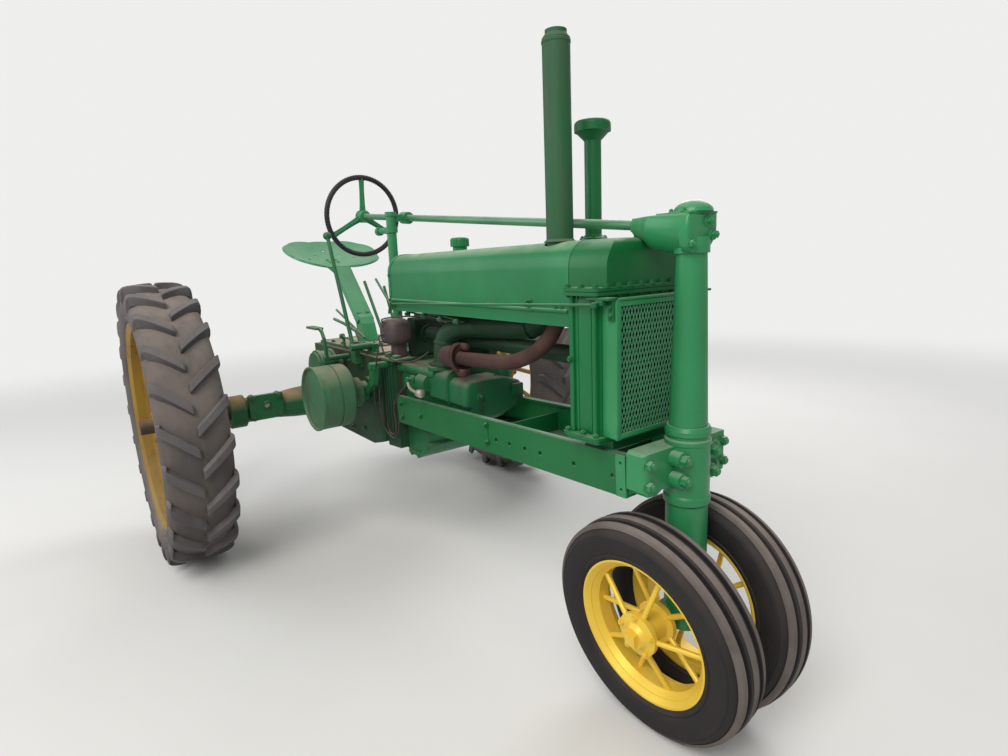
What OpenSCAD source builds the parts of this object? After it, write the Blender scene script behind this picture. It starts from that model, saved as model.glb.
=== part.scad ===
// Unstyled two-cylinder row-crop tractor on rubber tyres, all lengths in millimetres.
// X points forward, Y to the left of the driver and Z up, with the ground at Z = 0.
// Modules work from the rear axle line, and at_frame() moves them to the origin.

/* [Layout] */
// Distance from the rear axle to the front axle
wheelbase = 2135; // [1980:5:2400]
// Distance between the middles of the rear tyres
rear_track = 1890; // [1700:10:2100]
// Distance between the middles of the front tyres at hub height
front_track = 222; // [214:2:250]
// Lean of each front wheel, top outwards, in degrees
front_camber = 6; // [5:0.5:6.5]
// Distance of the front axle behind the steering pivot
steer_trail = 28; // [20:1:40]

/* [Tyres and rims] */
// Outer radius of a rear tyre over its lugs
rear_tyre_r = 648; // [600:1:700]
// Width of a rear tyre
rear_tyre_w = 268; // [245:2:290]
// Height of the rear lugs above the carcass
lug_h = 26; // [18:1:30]
// Number of lugs on each half of a rear tread
lug_count = 23; // [18:1:26]
// Radius of the bead seat of a rear rim
rear_seat_r = 457; // [430:1:470]
// Outer radius of a front tyre
front_tyre_r = 320; // [300:1:345]
// Width of a front tyre
front_tyre_w = 126; // [116:1:134]
// Radius of the bead seat of a front rim
front_seat_r = 200; // [180:1:214]
// Thickness of the rims
rim_t = 6; // [5:0.5:8]

/* [Axles] */
// Radius of the rear axle shafts
rear_axle_r = 34; // [28:1:40]
// Radius of the front stub axles
stub_r = 17; // [14:1:20]
// Radial running clearance of a shaft in its bore
fit = 0.05; // [0.03:0.01:0.09]
// Outer radius of the rear axle housings
housing_r = 58; // [50:1:70]
// Distance from the middle of the tractor to the end of an axle housing
housing_end = 620; // [560:5:680]

/* [Frame] */
// Distance from the middle of the tractor to the outside of a frame rail
rail_half = 170; // [156:1:186]
// Gap between the front tyres and the bottom of the frame rails
frame_gap = 60; // [52:1:90]
// Depth of the frame rails
rail_h = 118; // [104:1:130]
// Fall of the frame rails towards the rear, in degrees
frame_fall = 2.1; // [1.9:0.1:2.3]
// Thickness of the frame rails
rail_t = 9; // [7:0.5:11]
// Width of the rail flanges
rail_flange = 42; // [34:1:50]
// Length of the front casting ahead of the rails
nose_len = 63; // [56:1:70]

/* [Main case] */
// Distance from the rear axle to the crankshaft
crank_x = 580; // [560:5:610]
// Height of the crankshaft above the bottom of the rails
crank_rise = 74; // [67:1:81]
// Distance from the crankshaft to the front of the main case
case_front = 190; // [176:1:205]
// Half of the width of the main case
case_half = 190; // [180:1:205]
// Height of the main case above the rails
case_rise = 107; // [98:1:118]
// Depth of the main case below the rear axle
case_drop = 143; // [130:1:157]
// Radius of the crankshaft ends
crank_r = 25; // [22.5:0.5:27.5]

/* [Engine] */
// Length of the cylinder block
block_len = 410; // [370:5:450]
// Length of the cylinder head
head_len = 122; // [110:1:134]
// Length of the rocker cover
cover_len = 270; // [245:1:296]
// Half of the width of the cylinder block
block_half = 150; // [136:1:160]
// Radius of the belt pulley
pulley_r = 138; // [125:1:151]
// Face width of the belt pulley
pulley_w = 155; // [140:1:170]
// Radius of the flywheel
flywheel_r = 245; // [222:1:268]
// Radius of the fan over its blades
fan_r = 140; // [126:1:150]

/* [Hood and radiator] */
// Half of the width of the hood
hood_half = 169; // [156:1:184]
// Height of the sides of the hood
hood_h = 239; // [216:1:250]
// Thickness of the hood sheet
hood_t = 3; // [2:0.5:4]
// Radius of the upper hood corners
hood_corner_r = 76; // [60:1:84]
// Fall of the hood top towards the rear, in degrees
hood_fall = 0.6; // [0:0.1:0.9]
// Half of the width of the radiator
rad_half = 208; // [194:1:228]
// Depth of the radiator from front to rear
rad_d = 108; // [98:1:118]
// Height of the radiator between its tanks
rad_h = 378; // [345:1:415]
// Height of the radiator foot above the rails
rad_foot = 42; // [36:1:48]
// Height of the top tank above the radiator
tank_h = 146; // [134:1:160]
// Distance of the front of the radiator behind the steering pivot
rad_set = 132; // [122:1:145]
// Depth of the screen box in front of the radiator
screen_d = 50; // [44:1:58]
// Distance between neighbouring strands of the screen
screen_pitch = 21; // [19:1:26]

/* [Stacks] */
// Outer radius of the exhaust stack
exhaust_r = 40; // [36:1:44]
// Height of the exhaust stack above the hood
exhaust_h = 574; // [518:1:630]
// Outer radius of the air intake stack
intake_r = 26; // [23:1:29]
// Height of the air intake stack above the hood
intake_h = 362; // [325:1:400]

/* [Steering] */
// Radius of the foot of the front column
column_r = 51; // [46:1:56]
// Height of the steering shaft above the hood, at the front column
shaft_over = 16; // [14:1:24]
// Rise of the steering shaft towards the driver, in degrees
shaft_rise = 5.1; // [4.6:0.1:5.6]
// Radius of the steering shaft
shaft_r = 14; // [12.5:0.5:15.5]
// Radius of the steering wheel to the middle of its rim
wheel_r = 187; // [170:1:205]
// Radius of the grip of the steering wheel
grip_r = 13; // [11:0.5:15]
// Distance from the rear axle to the hub of the steering wheel
wheel_x = 195; // [175:5:215]

/* [Seat] */
// Width of the seat pan
seat_w = 520; // [470:10:570]
// Height of the lowest point of the seat pan
seat_z = 1371; // [1340:1:1400]
// Distance of the middle of the seat behind the rear axle
seat_back = 300; // [270:5:330]
// Tilt of the seat pan, front downwards, in degrees
seat_tilt = 22; // [20:0.5:24]

/* [Hidden] */

green = "#1f8a45";
yellow = "#e0b020";
rubber = "#3a3634";
rust = "#6e4038";
black = "#262626";
dusty = "#7d8a5a";
seat_gap = 0.3;
far = 3000;

rear_x = -(wheelbase + front_tyre_r - rear_tyre_r) / 2;
column_x = wheelbase + steer_trail;

module at_frame() translate([rear_x, 0, 0]) children();
module box(x, y, z) translate([x[0], y[0], z[0]]) cube([x[1] - x[0], y[1] - y[0], z[1] - z[0]]);
module xrod(x, y, z, r, fn = 48) translate([x[0], y, z]) rotate([0, 90, 0])
    cylinder(h = x[1] - x[0], r = r, $fn = fn);
module yrod(x, y, z, r, fn = 48) translate([x, y[1], z]) rotate([90, 0, 0])
    cylinder(h = y[1] - y[0], r = r, $fn = fn);
module zrod(x, y, z, r, fn = 48) translate([x, y, z[0]]) cylinder(h = z[1] - z[0], r = r, $fn = fn);
// Straight round bar between two points
module bar(a, b, r, fn = 24) {
    d = b - a;
    translate(a) rotate([0, acos(d[2] / norm(d)), atan2(d[1], d[0])]) cylinder(h = norm(d), r = r, $fn = fn);
}
// Rod bent at its points, with round elbows
module bent_rod(points, r, fn = 24) {
    for (i = [1:len(points) - 1]) bar(points[i - 1], points[i], r, fn);
    for (i = [1:1:len(points) - 2]) translate(points[i]) sphere(r = r + 0.3, $fn = 32);
}
// Outline drawn in X and Z, extruded over the span of Y
module side_plate(points, y) translate([0, y[1], 0]) rotate([90, 0, 0])
    linear_extrude(y[1] - y[0]) polygon(points);
// Outline drawn in Y and Z, extruded over the span of X
module cross_plate(points, x) translate([x[0], 0, 0]) rotate([90, 0, 90])
    linear_extrude(x[1] - x[0]) polygon(points);
module rounded_rect(x, y, r) {
    translate([x[0] + r, y[0]]) square([x[1] - x[0] - 2 * r, y[1] - y[0]]);
    translate([x[0], y[0] + r]) square([x[1] - x[0], y[1] - y[0] - 2 * r]);
    for (u = [x[0] + r, x[1] - r], v = [y[0] + r, y[1] - r]) translate([u, v]) circle(r, $fn = 32);
}
// Rounded block seen from the side, from above and from the front
module side_block(x, y, z, r) translate([0, y[1], 0]) rotate([90, 0, 0])
    linear_extrude(y[1] - y[0]) rounded_rect(x, z, r);
module plan_block(x, y, z, r) translate([0, 0, z[0]]) linear_extrude(z[1] - z[0]) rounded_rect(x, y, r);
module cross_block(x, y, z, r) translate([x[0], 0, 0]) rotate([90, 0, 90])
    linear_extrude(x[1] - x[0]) rounded_rect(y, z, r);
// Revolves an outline of radius and offset about the Y axis
module wheel_turn(points, fn = 96) rotate([-90, 0, 0]) rotate_extrude($fn = fn) polygon(points);
module mirrored(side) if (side > 0) children(); else mirror([0, 1, 0]) children();
module both() { children(); mirror([0, 1, 0]) children(); }
function reversed(list) = [for (i = [len(list) - 1:-1:0]) list[i]];
// Quarter arc of an outline, from one angle to another about a centre
function arc(c, r, a, b, n = 6) = [for (i = [0:n]) let (t = a + (b - a) * i / n)
    [c[0] + r * cos(t), c[1] + r * sin(t)]];

// Frame heights and the rear axle line
rail_z = 2 * front_tyre_r + frame_gap;
rail_top = rail_z + rail_h;
rail_x0 = crank_x + case_front;
rail_x1 = column_x - nose_len;
function rail_top_at(x) = rail_top - (rail_x1 - x) * tan(frame_fall);
axle_z = rear_tyre_r;
rear_half = rear_track / 2;
crank_z = rail_z + crank_rise;
case_top = rail_top + case_rise;
case_z0 = axle_z - case_drop;
hood_z1 = rail_top + rad_foot + rad_h + tank_h;
hood_z0 = hood_z1 - hood_h;
governor_top = hood_z0 - 47;
fan_y = 0;
fan_z = governor_top - 70;
tube_r = 30;

// Main case: gear housing round the rear axle and crankcase with ribbed sides ahead of it
case_rear = 190;
front_half = case_half - 24;
rib_face = front_half + 12;
rib_x = [for (i = [0:3]) rail_x0 - 98 + 24 * i];
bearing_r = 62;
module main_case() color(green) at_frame() {
    intersection() {
        side_plate([[-case_rear, case_z0 + 60], [-case_rear, case_top - 125], [-case_rear + 40, case_top - 50],
            [-case_rear + 40, case_top], [rail_x0 - 120, case_top], [rail_x0 - 120, case_z0 + 30],
            [crank_x - 40, case_z0], [-case_rear + 60, case_z0]], [-case_half, case_half]);
        plan_block([-case_rear, rail_x0 - 108], [-case_half, case_half], [case_z0, case_top], 34);
    }
    side_plate([[rail_x0 - 122, case_top], [rail_x0, case_top], [rail_x0, case_z0 + 22],
        [rail_x0 - 122, case_z0 + 12]], [-front_half, front_half]);
    both() {
        for (x = rib_x) box([x, x + 10], [front_half - 2, rib_face], [case_z0 + 70, case_top - 16]);
        box([rail_x0 - 122, rail_x0], [front_half - 2, rib_face], [case_top - 20, case_top - 2]);
        yrod(crank_x, [case_half - 2, case_half + 34], crank_z, bearing_r, 64);
    }
    yrod(crank_x, [-pulley_in - 45, -case_half], crank_z, crank_r, 64);
    yrod(crank_x, [case_half, flywheel_in + 85], crank_z, crank_r, 64);
    side_block([-case_rear - 14, 1 - case_rear], [-120, 120], [case_z0 + 95, case_top - 135], 4);
}

// Flat cover, gate for the shift levers, brake shaft bearings and rear plate on the case
cover_t = 14;
cover_half = 165;
cover_top = case_top + cover_t;
module case_cover() color(dusty) at_frame() {
    plan_block([-140, crank_x], [-cover_half, cover_half], [case_top, cover_top], 20);
    plan_block([300, 410], [-60, 100], [cover_top, cover_top + 8], 12);
    zrod(crank_x - 60, 60, [cover_top, cover_top + 30], 52);
}

// Axle housing with a trumpet beside the case and a square bolted flange at its end
module axle_housing(side) color(green) at_frame() mirrored(side) translate([0, 0, axle_z]) difference() {
    union() {
        wheel_turn([[0, case_half], [116, case_half], [116, case_half + 22], [98, case_half + 24],
            [80, case_half + 50], [68, case_half + 90], [housing_r, case_half + 142],
            [housing_r, housing_end], [0, housing_end]], 64);
        side_block([-82, 82], [housing_end - 62, housing_end - 36], [-82, 82], 12);
    }
    yrod(0, [case_half - 1, housing_end + 1], 0, rear_axle_r + fit, 64);
}
module axle_housing_right() axle_housing(-1);
module axle_housing_left() axle_housing(1);
module rear_axle(side) color(yellow) at_frame() mirrored(side)
    yrod(0, [case_half + 6, rear_half + rear_hub_half + 60], axle_z, rear_axle_r, 64);
module rear_axle_right() rear_axle(-1);
module rear_axle_left() rear_axle(1);

// Brake drum housing above each axle, turned with a rim at both faces
brake_x = 190;
brake_z = case_top - 95;
module brake_housing(side) color(green) at_frame() mirrored(side) translate([brake_x, case_half, brake_z])
    wheel_turn([[0, 0], [64, 0], [64, 40], [100, 40], [100, 54], [93, 58], [93, 100], [100, 104],
        [100, 118], [90, 122], [90, 130], [0, 130]], 64);
module brake_housing_right() brake_housing(-1);
module brake_housing_left() brake_housing(1);

// Cylinder block lying between the rails, with a sump below them
block_x1 = rail_x0 + block_len;
head_x1 = block_x1 + head_len;
cover_x1 = head_x1 + cover_len;
block_clear = rail_top_at(block_x1) + 8;
head_clear = rail_top_at(head_x1) + 8;
low_half = rail_half - rail_flange - 3;
block_top = fan_z - tube_r - 13;
cover_low = rail_top - 108;
jacket_x = block_x1 - 150;
module engine_block() color(green) at_frame() {
    cross_block([rail_x0, jacket_x], [15 - block_half, block_half - 15], [block_clear, block_top - 6], 26);
    cross_block([jacket_x, block_x1 - 16], [-block_half, block_half], [block_clear, block_top], 34);
    cross_block([block_x1 - 16, block_x1], [-block_half - 8, block_half + 8], [block_clear, block_top + 6], 34);
    xrod([rail_x0, jacket_x + 40], -block_half + 14, block_top - 42, 21);
    xrod([jacket_x - 70, jacket_x], -block_half + 6, block_top - 96, 32);
    side_plate([[rail_x0, case_z0 + 10], [rail_x0, block_clear + 30], [block_x1, block_clear + 30], [block_x1, rail_z + 6],
        [block_x1 - 140, rail_z - 50], [block_x1 - 205, case_z0 + 70], [block_x1 - 310, case_z0],
        [rail_x0 + 40, case_z0]], [-low_half, low_half]);
}

head_half = block_half - 4;
head_top = block_top + 5;
module cylinder_head() color(green) at_frame() {
    cross_block([block_x1, head_x1 - 14], [-head_half, head_half], [head_clear, head_top], 34);
    cross_block([head_x1 - 14, head_x1], [-head_half - 6, head_half + 6], [head_clear, head_top + 2], 34);
    box([block_x1, head_x1], [-low_half, low_half], [rail_z + 6, head_clear + 30]);
}

// Rocker cover with a domed end held by one long stud
rocker_half = 112;
module rocker_cover() color(green) at_frame() {
    cross_block([head_x1, head_x1 + 12], [-rocker_half - 6, rocker_half + 6], [cover_low, block_top - 15], 46);
    cross_block([head_x1 + 12, cover_x1 - 34], [-rocker_half, rocker_half], [cover_low + 6, block_top - 21], 44);
    cross_block([cover_x1 - 34, cover_x1 - 14], [10 - rocker_half, rocker_half - 10], [cover_low + 16, block_top - 31], 40);
    cross_block([cover_x1 - 14, cover_x1], [30 - rocker_half, rocker_half - 30], [cover_low + 36, block_top - 51], 34);
    xrod([cover_x1, cover_x1 + 14], 0, (cover_low + block_top) / 2, 15);
}

// Belt pulley on the right end of the crankshaft, with a seam round the drum and a dished disc
pulley_in = case_half + 75;
flywheel_in = case_half + 45;
drum_in = 56;
drum_out = drum_in + pulley_w;
seam_at = drum_in + pulley_w * 0.45;
module belt_pulley() color(green) at_frame() translate([crank_x, -pulley_in, crank_z])
    rotate([90, 0, 0]) rotate_extrude($fn = 96) polygon(concat([[crank_r + fit, 0], [66, 0], [66, drum_in],
        [88, drum_out - 26], [pulley_r - 9, drum_out - 26], [pulley_r - 9, drum_in + 20]],
        reversed(arc([pulley_r - 20, drum_in + 20], 20, 0, -70)),
        [[pulley_r, drum_in + 24], [pulley_r, seam_at - 3], [pulley_r - 4, seam_at - 2], [pulley_r - 4, seam_at + 2],
        [pulley_r, seam_at + 3], [pulley_r, drum_out - 12], [pulley_r + 3, drum_out - 10], [pulley_r + 3, drum_out],
        [pulley_r - 5, drum_out], [pulley_r - 8, drum_out - 7], [pulley_r - 14, drum_out - 8],
        [pulley_r - 30, drum_out - 5], [0, drum_out - 3], [0, 46], [crank_r + fit, 46]]));

// Curved arm of the pulley brake, from the case down beside the drum
arm_y = -case_half - 54;
module pulley_arm() color(green) at_frame() difference() {
    union() {
    side_plate([[crank_x - 182, crank_z - 76], [crank_x - 38, crank_z - 45], [crank_x + 70, crank_z + 4],
        [rail_x0 - 45, crank_z + 50], [rail_x0 - 32, crank_z + 124], [rail_x0 - 50, crank_z + 150],
        [rail_x0 - 72, crank_z + 146], [rail_x0 - 66, crank_z + 118], [rail_x0 - 89, crank_z + 54],
        [crank_x + 40, crank_z + 12], [crank_x - 6, crank_z - 9], [crank_x - 48, crank_z - 15],
        [crank_x - 69, crank_z + 2], [crank_x - 196, crank_z - 20]],
            [arm_y - 13, arm_y + 13]);
        yrod(crank_x, [arm_y - 13, arm_y + 13], crank_z, crank_r + 20);
        yrod(rail_x0 - 50, [arm_y - 20, -rib_face - seat_gap], crank_z + 132, 15);
    }
    yrod(crank_x, [arm_y - 20, arm_y + 20], crank_z, crank_r + seat_gap);
}

module flywheel() color(green) at_frame() translate([crank_x, flywheel_in, crank_z]) difference() {
    wheel_turn([[crank_r + fit, 0], [64, 0], [74, 26], [flywheel_r - 60, 44], [flywheel_r - 50, 10],
        [flywheel_r - 4, 10], [flywheel_r, 14], [flywheel_r, 116], [flywheel_r - 4, 120],
        [flywheel_r - 48, 120], [flywheel_r - 58, 82], [80, 86], [60, 104], [0, 104], [0, 86],
        [crank_r + fit, 86]]);
    for (a = [30:60:330]) rotate([0, a, 0]) yrod(flywheel_r * 0.53, [20, 120], 0, 13, 32);
}

// Governor and fan drive on top of the crankcase
governor_x0 = rail_x0 - 76;
module governor_case() color(green) at_frame() {
    side_block([governor_x0, rail_x0 - 2], [-55, 150], [case_top, governor_top], 18);
    xrod([rail_x0 - 4, rail_x0 + 28], fan_y, fan_z, tube_r + 8);
    yrod(rail_x0 - 44, [149, 168], fan_z - 10, 34);
}

// Magneto with a round body across the engine, a cap at its end and a foot under it
magneto_z = case_top + 61;
magneto_y = -195;
magneto_x = [rail_x0 - 74, rail_x0 + 56];
module magneto() color("#4a3a34") at_frame() {
    side_block(magneto_x, [magneto_y + 12, -57], [magneto_z, hood_z0 - 33], 42);
    side_block([magneto_x[0] + 8, magneto_x[1] - 8], [magneto_y, magneto_y + 13], [magneto_z + 8, hood_z0 - 41], 38);
    box([magneto_x[0] + 4, magneto_x[1] - 58], [magneto_y + 5, -70], [case_top, magneto_z + 2]);
    yrod(magneto_x[0] + 50, [magneto_y - 16, magneto_y + 1], magneto_z + 78, 12);
    yrod(magneto_x[0] + 46, [magneto_y - 16, magneto_y + 1], magneto_z + 36, 12);
}

// Two-barrel carburettor and its air elbow on the left of the block
carb_x = rail_x0 + 240;
carb_y = 95;
module carburettor() color(green) at_frame() {
    zrod(carb_x, carb_y, [block_top + seat_gap, block_top + 75], 30);
    zrod(carb_x, carb_y, [block_top + 70, block_top + 84], 42);
    xrod([carb_x, carb_x + 100], carb_y, block_top + 45, 20);
    yrod(carb_x + 60, [carb_y, carb_y + 50], block_top + 45, 26);
}

// Air cleaner bowl on the left rail, fed by a pipe from the stack side of the hood
cleaner_x = column_x - 430;
cleaner_y = rail_half + 70;
module air_cleaner() color(green) at_frame() {
    translate([cleaner_x, cleaner_y, 0]) {
        zrod(0, 0, [rail_top + 26, rail_top + 250], 62, 64);
        zrod(0, 0, [rail_top + 14, rail_top + 27], 50, 64);
        zrod(0, 0, [rail_top + 84, rail_top + 96], 67, 64);
        zrod(0, 0, [rail_top + 249, rail_top + 262], 46, 64);
    }
    box([cleaner_x - 26, cleaner_x + 26], [rail_half + 4, cleaner_y - 20], [rail_z + 30, rail_z + 40]);
    box([cleaner_x - 26, cleaner_x + 26], [rail_half, rail_half + 8], [rail_z + 10, rail_top - 30]);
    box([cleaner_x - 20, cleaner_x + 20], [cleaner_y - 30, cleaner_y - 20], [rail_z + 30, rail_top + 40]);
}

// Rusty manifold from the head, with a clamp, a long pipe and a swept bend up to the stack
rad_x1 = column_x - rad_set;
rad_x0 = rad_x1 - rad_d;
hood_x1 = rad_x0 - 40;
hood_x0 = rail_x0 + 5;
exhaust_x = hood_x1 - 119;
exhaust_y = -88;
pipe_y = -192;
pipe_z = block_top + 19;
pipe_r = 25;
bend_r = 130;
stack_z0 = hood_z0 + 3;
port_x = block_x1 + 52;
bend_turn = atan2(stack_z0 - pipe_z, exhaust_y - pipe_y);
module exhaust_manifold() color(rust) at_frame() {
    yrod(port_x, [pipe_y, -head_half - seat_gap], pipe_z - 44, 28);
    translate([port_x - 60, pipe_y, pipe_z - 6]) rotate([0, 90, 0]) cylinder(h = 128, r1 = 22, r2 = 41, $fn = 48);
    xrod([port_x + 68, port_x + 78], pipe_y, pipe_z - 6, 48);
    xrod([port_x + 82, port_x + 92], pipe_y, pipe_z, 48);
    xrod([port_x + 77, exhaust_x - bend_r], pipe_y, pipe_z, pipe_r);
    for (s = [-1, 1]) xrod([port_x + 60, port_x + 108], pipe_y + 18 * s, pipe_z + 48 * s, 9, 24);
    translate([exhaust_x - bend_r, pipe_y, pipe_z]) rotate([bend_turn - 90, 0, 0]) rotate([90, 0, 0])
        translate([0, bend_r, 0]) rotate([0, 0, -90]) rotate_extrude(angle = 90, $fn = 96)
            translate([bend_r, 0]) circle(r = pipe_r, $fn = 32);
    xrod([exhaust_x - bend_r - 8, exhaust_x - bend_r + 8], pipe_y, pipe_z, pipe_r + 3);
    intersection() {
        translate([exhaust_x, pipe_y, pipe_z]) rotate([bend_turn - 90, 0, 0]) translate([0, 0, bend_r - 8]) {
            cylinder(h = 16, r = pipe_r + 3, $fn = 48);
            cylinder(h = 200, r = pipe_r, $fn = 48);
        }
        box([0, far], [-far, far], [0, stack_z0]);
    }
}

exhaust_top = hood_z1 + exhaust_h;
module exhaust_stack() color(green) at_frame() translate([exhaust_x, exhaust_y, 0]) difference() {
    union() {
        zrod(0, 0, [stack_z0, stack_z0 + 40], pipe_r + 8);
        zrod(0, 0, [stack_z0 + 40, exhaust_top - 22], exhaust_r);
        translate([0, 0, exhaust_top - 22]) cylinder(h = 12, r1 = exhaust_r, r2 = exhaust_r - 9, $fn = 48);
        zrod(0, 0, [exhaust_top - 10, exhaust_top], exhaust_r - 9);
    }
    zrod(0, 0, [exhaust_top - 120, exhaust_top + 1], exhaust_r - 12);
}

// Air intake stack with a bolted foot and a mushroom cap
intake_x = hood_x1 - 147;
intake_y = 80;
intake_top = hood_z1 + intake_h;
function hood_top_at(x) = hood_z1 - (hood_x1 - x) * tan(hood_fall);
intake_z0 = hood_top_at(intake_x + intake_r + 18) + seat_gap;
module intake_stack() color(green) at_frame() translate([intake_x, intake_y, 0])
    rotate_extrude($fn = 64) polygon(concat([[0, intake_z0], [intake_r + 18, intake_z0],
        [intake_r + 18, intake_z0 + 10], [intake_r + 6, intake_z0 + 13], [intake_r, intake_z0 + 22],
        [intake_r, intake_top - 62], [intake_r + 24, intake_top - 38], [intake_r + 30, intake_top - 36],
        [intake_r + 30, intake_top - 16]],
        arc([intake_r + 18, intake_top - 16], 12, 20, 70, 3), [[intake_r, intake_top], [0, intake_top]]));

// Tube round the fan shaft, and the four-bladed fan behind the radiator
fan_x = rad_x0 - 73;
fan_pin_r = 12;
module fan_shaft_tube() color(green) at_frame() {
    xrod([rail_x0 + 28, fan_x - 8], fan_y, fan_z, tube_r);
    xrod([fan_x - 40, fan_x - 22], fan_y, fan_z, tube_r + 8);
    xrod([fan_x - 8, fan_x + 40], fan_y, fan_z, fan_pin_r);
}
module fan() color("#4a4038") at_frame() translate([fan_x, fan_y, fan_z]) difference() {
    union() {
        xrod([0, 36], 0, 0, 34);
        for (a = [0:90:270]) rotate([a, 0, 0]) translate([18, 0, 0]) rotate([0, 0, 24])
            translate([-2, 0, 0]) rotate([90, 0, 90]) linear_extrude(4) polygon([[-14, 26], [-38, fan_r * 0.55],
                [-34, fan_r - 8], [-24, fan_r], [24, fan_r], [34, fan_r - 8], [38, fan_r * 0.55], [14, 26]]);
    }
    xrod([-1, 37], 0, 0, fan_pin_r + fit);
}

// Water outlet rising from the head to the top of the radiator
outlet_y = 70;
outlet_x = block_x1 + 60;
outlet_r = 28;
knee_a = [rad_x0 - 333, outlet_y, head_top + 130];
knee_b = [rad_x0 - 233, outlet_y, rail_top + rad_foot + rad_h - 34];
module water_pipe() color(green) at_frame() {
    zrod(outlet_x, outlet_y, [head_top, head_top + 120], 34);
    bar([outlet_x, outlet_y, head_top + 108], knee_a, outlet_r);
    bar(knee_a, knee_b, outlet_r);
    for (k = [knee_a, knee_b]) translate(k) sphere(r = outlet_r + 0.4, $fn = 48);
    xrod([knee_b[0], rad_x0 + 10], outlet_y, knee_b[2], outlet_r);
}

// Radiator sides of folded sheet round the core, a bottom tank and its foot
rad_z0 = rail_top + rad_foot;
tank_z0 = rad_z0 + rad_h;
core_half = rad_half - 58;
side_line = rad_half - 12;
module radiator() color(green) at_frame() {
    both() {
        box([rad_x0 + 10, rad_x1 - 10], [core_half, side_line], [rad_z0, tank_z0]);
        plan_block([rad_x0, rad_x0 + 16], [side_line - 26, rad_half], [rad_z0, tank_z0], 5);
        box([rad_x0 + 24, rad_x0 + 30], [side_line - 2, side_line + 5], [rad_z0, tank_z0]);
        plan_block([rad_x1 - 22, rad_x1 - 8], [side_line - 20, rad_half], [rad_z0, tank_z0], 5);
        box([rad_x1 - 12, rad_x1], [core_half, side_line - 4], [rad_z0, tank_z0]);
    }
    for (z = [[rad_z0, rad_z0 + 24], [tank_z0 - 24, tank_z0]]) box([rad_x0 + 10, rad_x1], [-core_half, core_half], z);
    plan_block([rad_x0 - 14, rad_x1 + 8], [-rad_half - 12, rad_half + 12], [rad_z0 - 8, rad_z0], 10);
    plan_block([rad_x0 - 10, rad_x1 + 4], [-rad_half - 6, rad_half + 6], [rad_z0 - 18, rad_z0 - 8], 8);
    side_plate([[rad_x0, rail_top_at(rad_x0) + seat_gap], [rad_x1, rail_top_at(rad_x1) + seat_gap],
        [rad_x1, rad_z0 - 17], [rad_x0, rad_z0 - 17]], [-150, 150]);
}

// Dark tube core, with a proud fin every few strands
fin_step = 21;
module radiator_core() color("#1c2420") at_frame() {
    box([rad_x0 + 18, rad_x1 - 18], [-core_half, core_half], [rad_z0 + 24, tank_z0 - 24]);
    for (y = [fin_step / 2 : fin_step : core_half - 6]) both()
        box([rad_x1 - 18, rad_x1 - 12], [y - 2, y + 2], [rad_z0 + 24, tank_z0 - 24]);
}

// Cross-section of the hood sheet and of the tank that carries on its line
module hood_section(t = 0) {
    r = hood_corner_r - t;
    translate([t - hood_half, 0]) square([2 * (hood_half - t), hood_h - hood_corner_r]);
    translate([hood_corner_r - hood_half, 0]) square([2 * (hood_half - hood_corner_r), hood_h - t]);
    for (s = [-1, 1]) translate([s * (hood_half - hood_corner_r), hood_h - hood_corner_r]) circle(r, $fn = 64);
}
flange_t = 9;
nose_r = 36;
module radiator_top_tank() color(green) at_frame() {
    for (i = [0, 1]) plan_block([rad_x0 - 12, rad_x1 + 10], [-rad_half - 12, rad_half + 12],
        [tank_z0 + i * (flange_t + 2), tank_z0 + i * (flange_t + 2) + flange_t], 10);
    box([rad_x0 - 4, rad_x1 + 2], [-rad_half - 4, rad_half + 4], [tank_z0 + flange_t - 1, tank_z0 + flange_t + 3]);
    intersection() {
        translate([hood_x1, 0, hood_z0]) rotate([90, 0, 90]) linear_extrude(rad_x1 - 2 - hood_x1) hood_section();
        union() {
            box([hood_x1, far], [-far, far], [tank_z0 + 2 * flange_t + 2, hood_z1 - nose_r]);
            box([hood_x1, rad_x1 - 2 - nose_r], [-far, far], [hood_z1 - nose_r, hood_z1]);
            yrod(rad_x1 - 2 - nose_r, [-far, far], hood_z1 - nose_r, nose_r, 64);
        }
    }
}

// Screen box hooked on the front of the radiator, with a diamond mesh of crossing strands
screen_half = rad_half - 20;
screen_frame = 16;
strand_t = 4;
strand_lean = 17.4;
screen_z = [rad_z0, tank_z0 - 12];
screen_x1 = rad_x1 + screen_d;
module radiator_screen() color(green) at_frame() {
    difference() {
        plan_block([rad_x1 - 8, screen_x1], [-screen_half, screen_half], screen_z, 7);
        box([rad_x1 - far, rad_x1], [-far, far], [0, far]);
        box([rad_x1 - 1, screen_x1 - strand_t], [4 - screen_half, screen_half - 4], [screen_z[0] + 4, screen_z[1] - 4]);
        box([rad_x1, screen_x1 + 1], [screen_frame - screen_half, screen_half - screen_frame],
            [screen_z[0] + screen_frame, screen_z[1] - screen_frame]);
    }
    intersection() {
        box([screen_x1 - strand_t, screen_x1 - 1], [screen_frame - screen_half - 1, 1 + screen_half - screen_frame],
            [screen_z[0] + screen_frame - 1, screen_z[1] - screen_frame + 1]);
        for (s = [-1, 1], y = [-screen_half - rad_h / 3 : screen_pitch : screen_half + rad_h / 3])
            translate([screen_x1 - strand_t, y, (rad_z0 + tank_z0) / 2]) rotate([s * strand_lean, 0, 0])
                translate([0, -1.2, -rad_h * 0.6]) cube([3, 2.4, rad_h * 1.2]);
    }
    both() side_block([rad_x1 + 2, rad_x1 + 30], [screen_half - 2, screen_half + 5],
        [screen_z[1] - 62, screen_z[1] - 8], 5);
}

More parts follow.
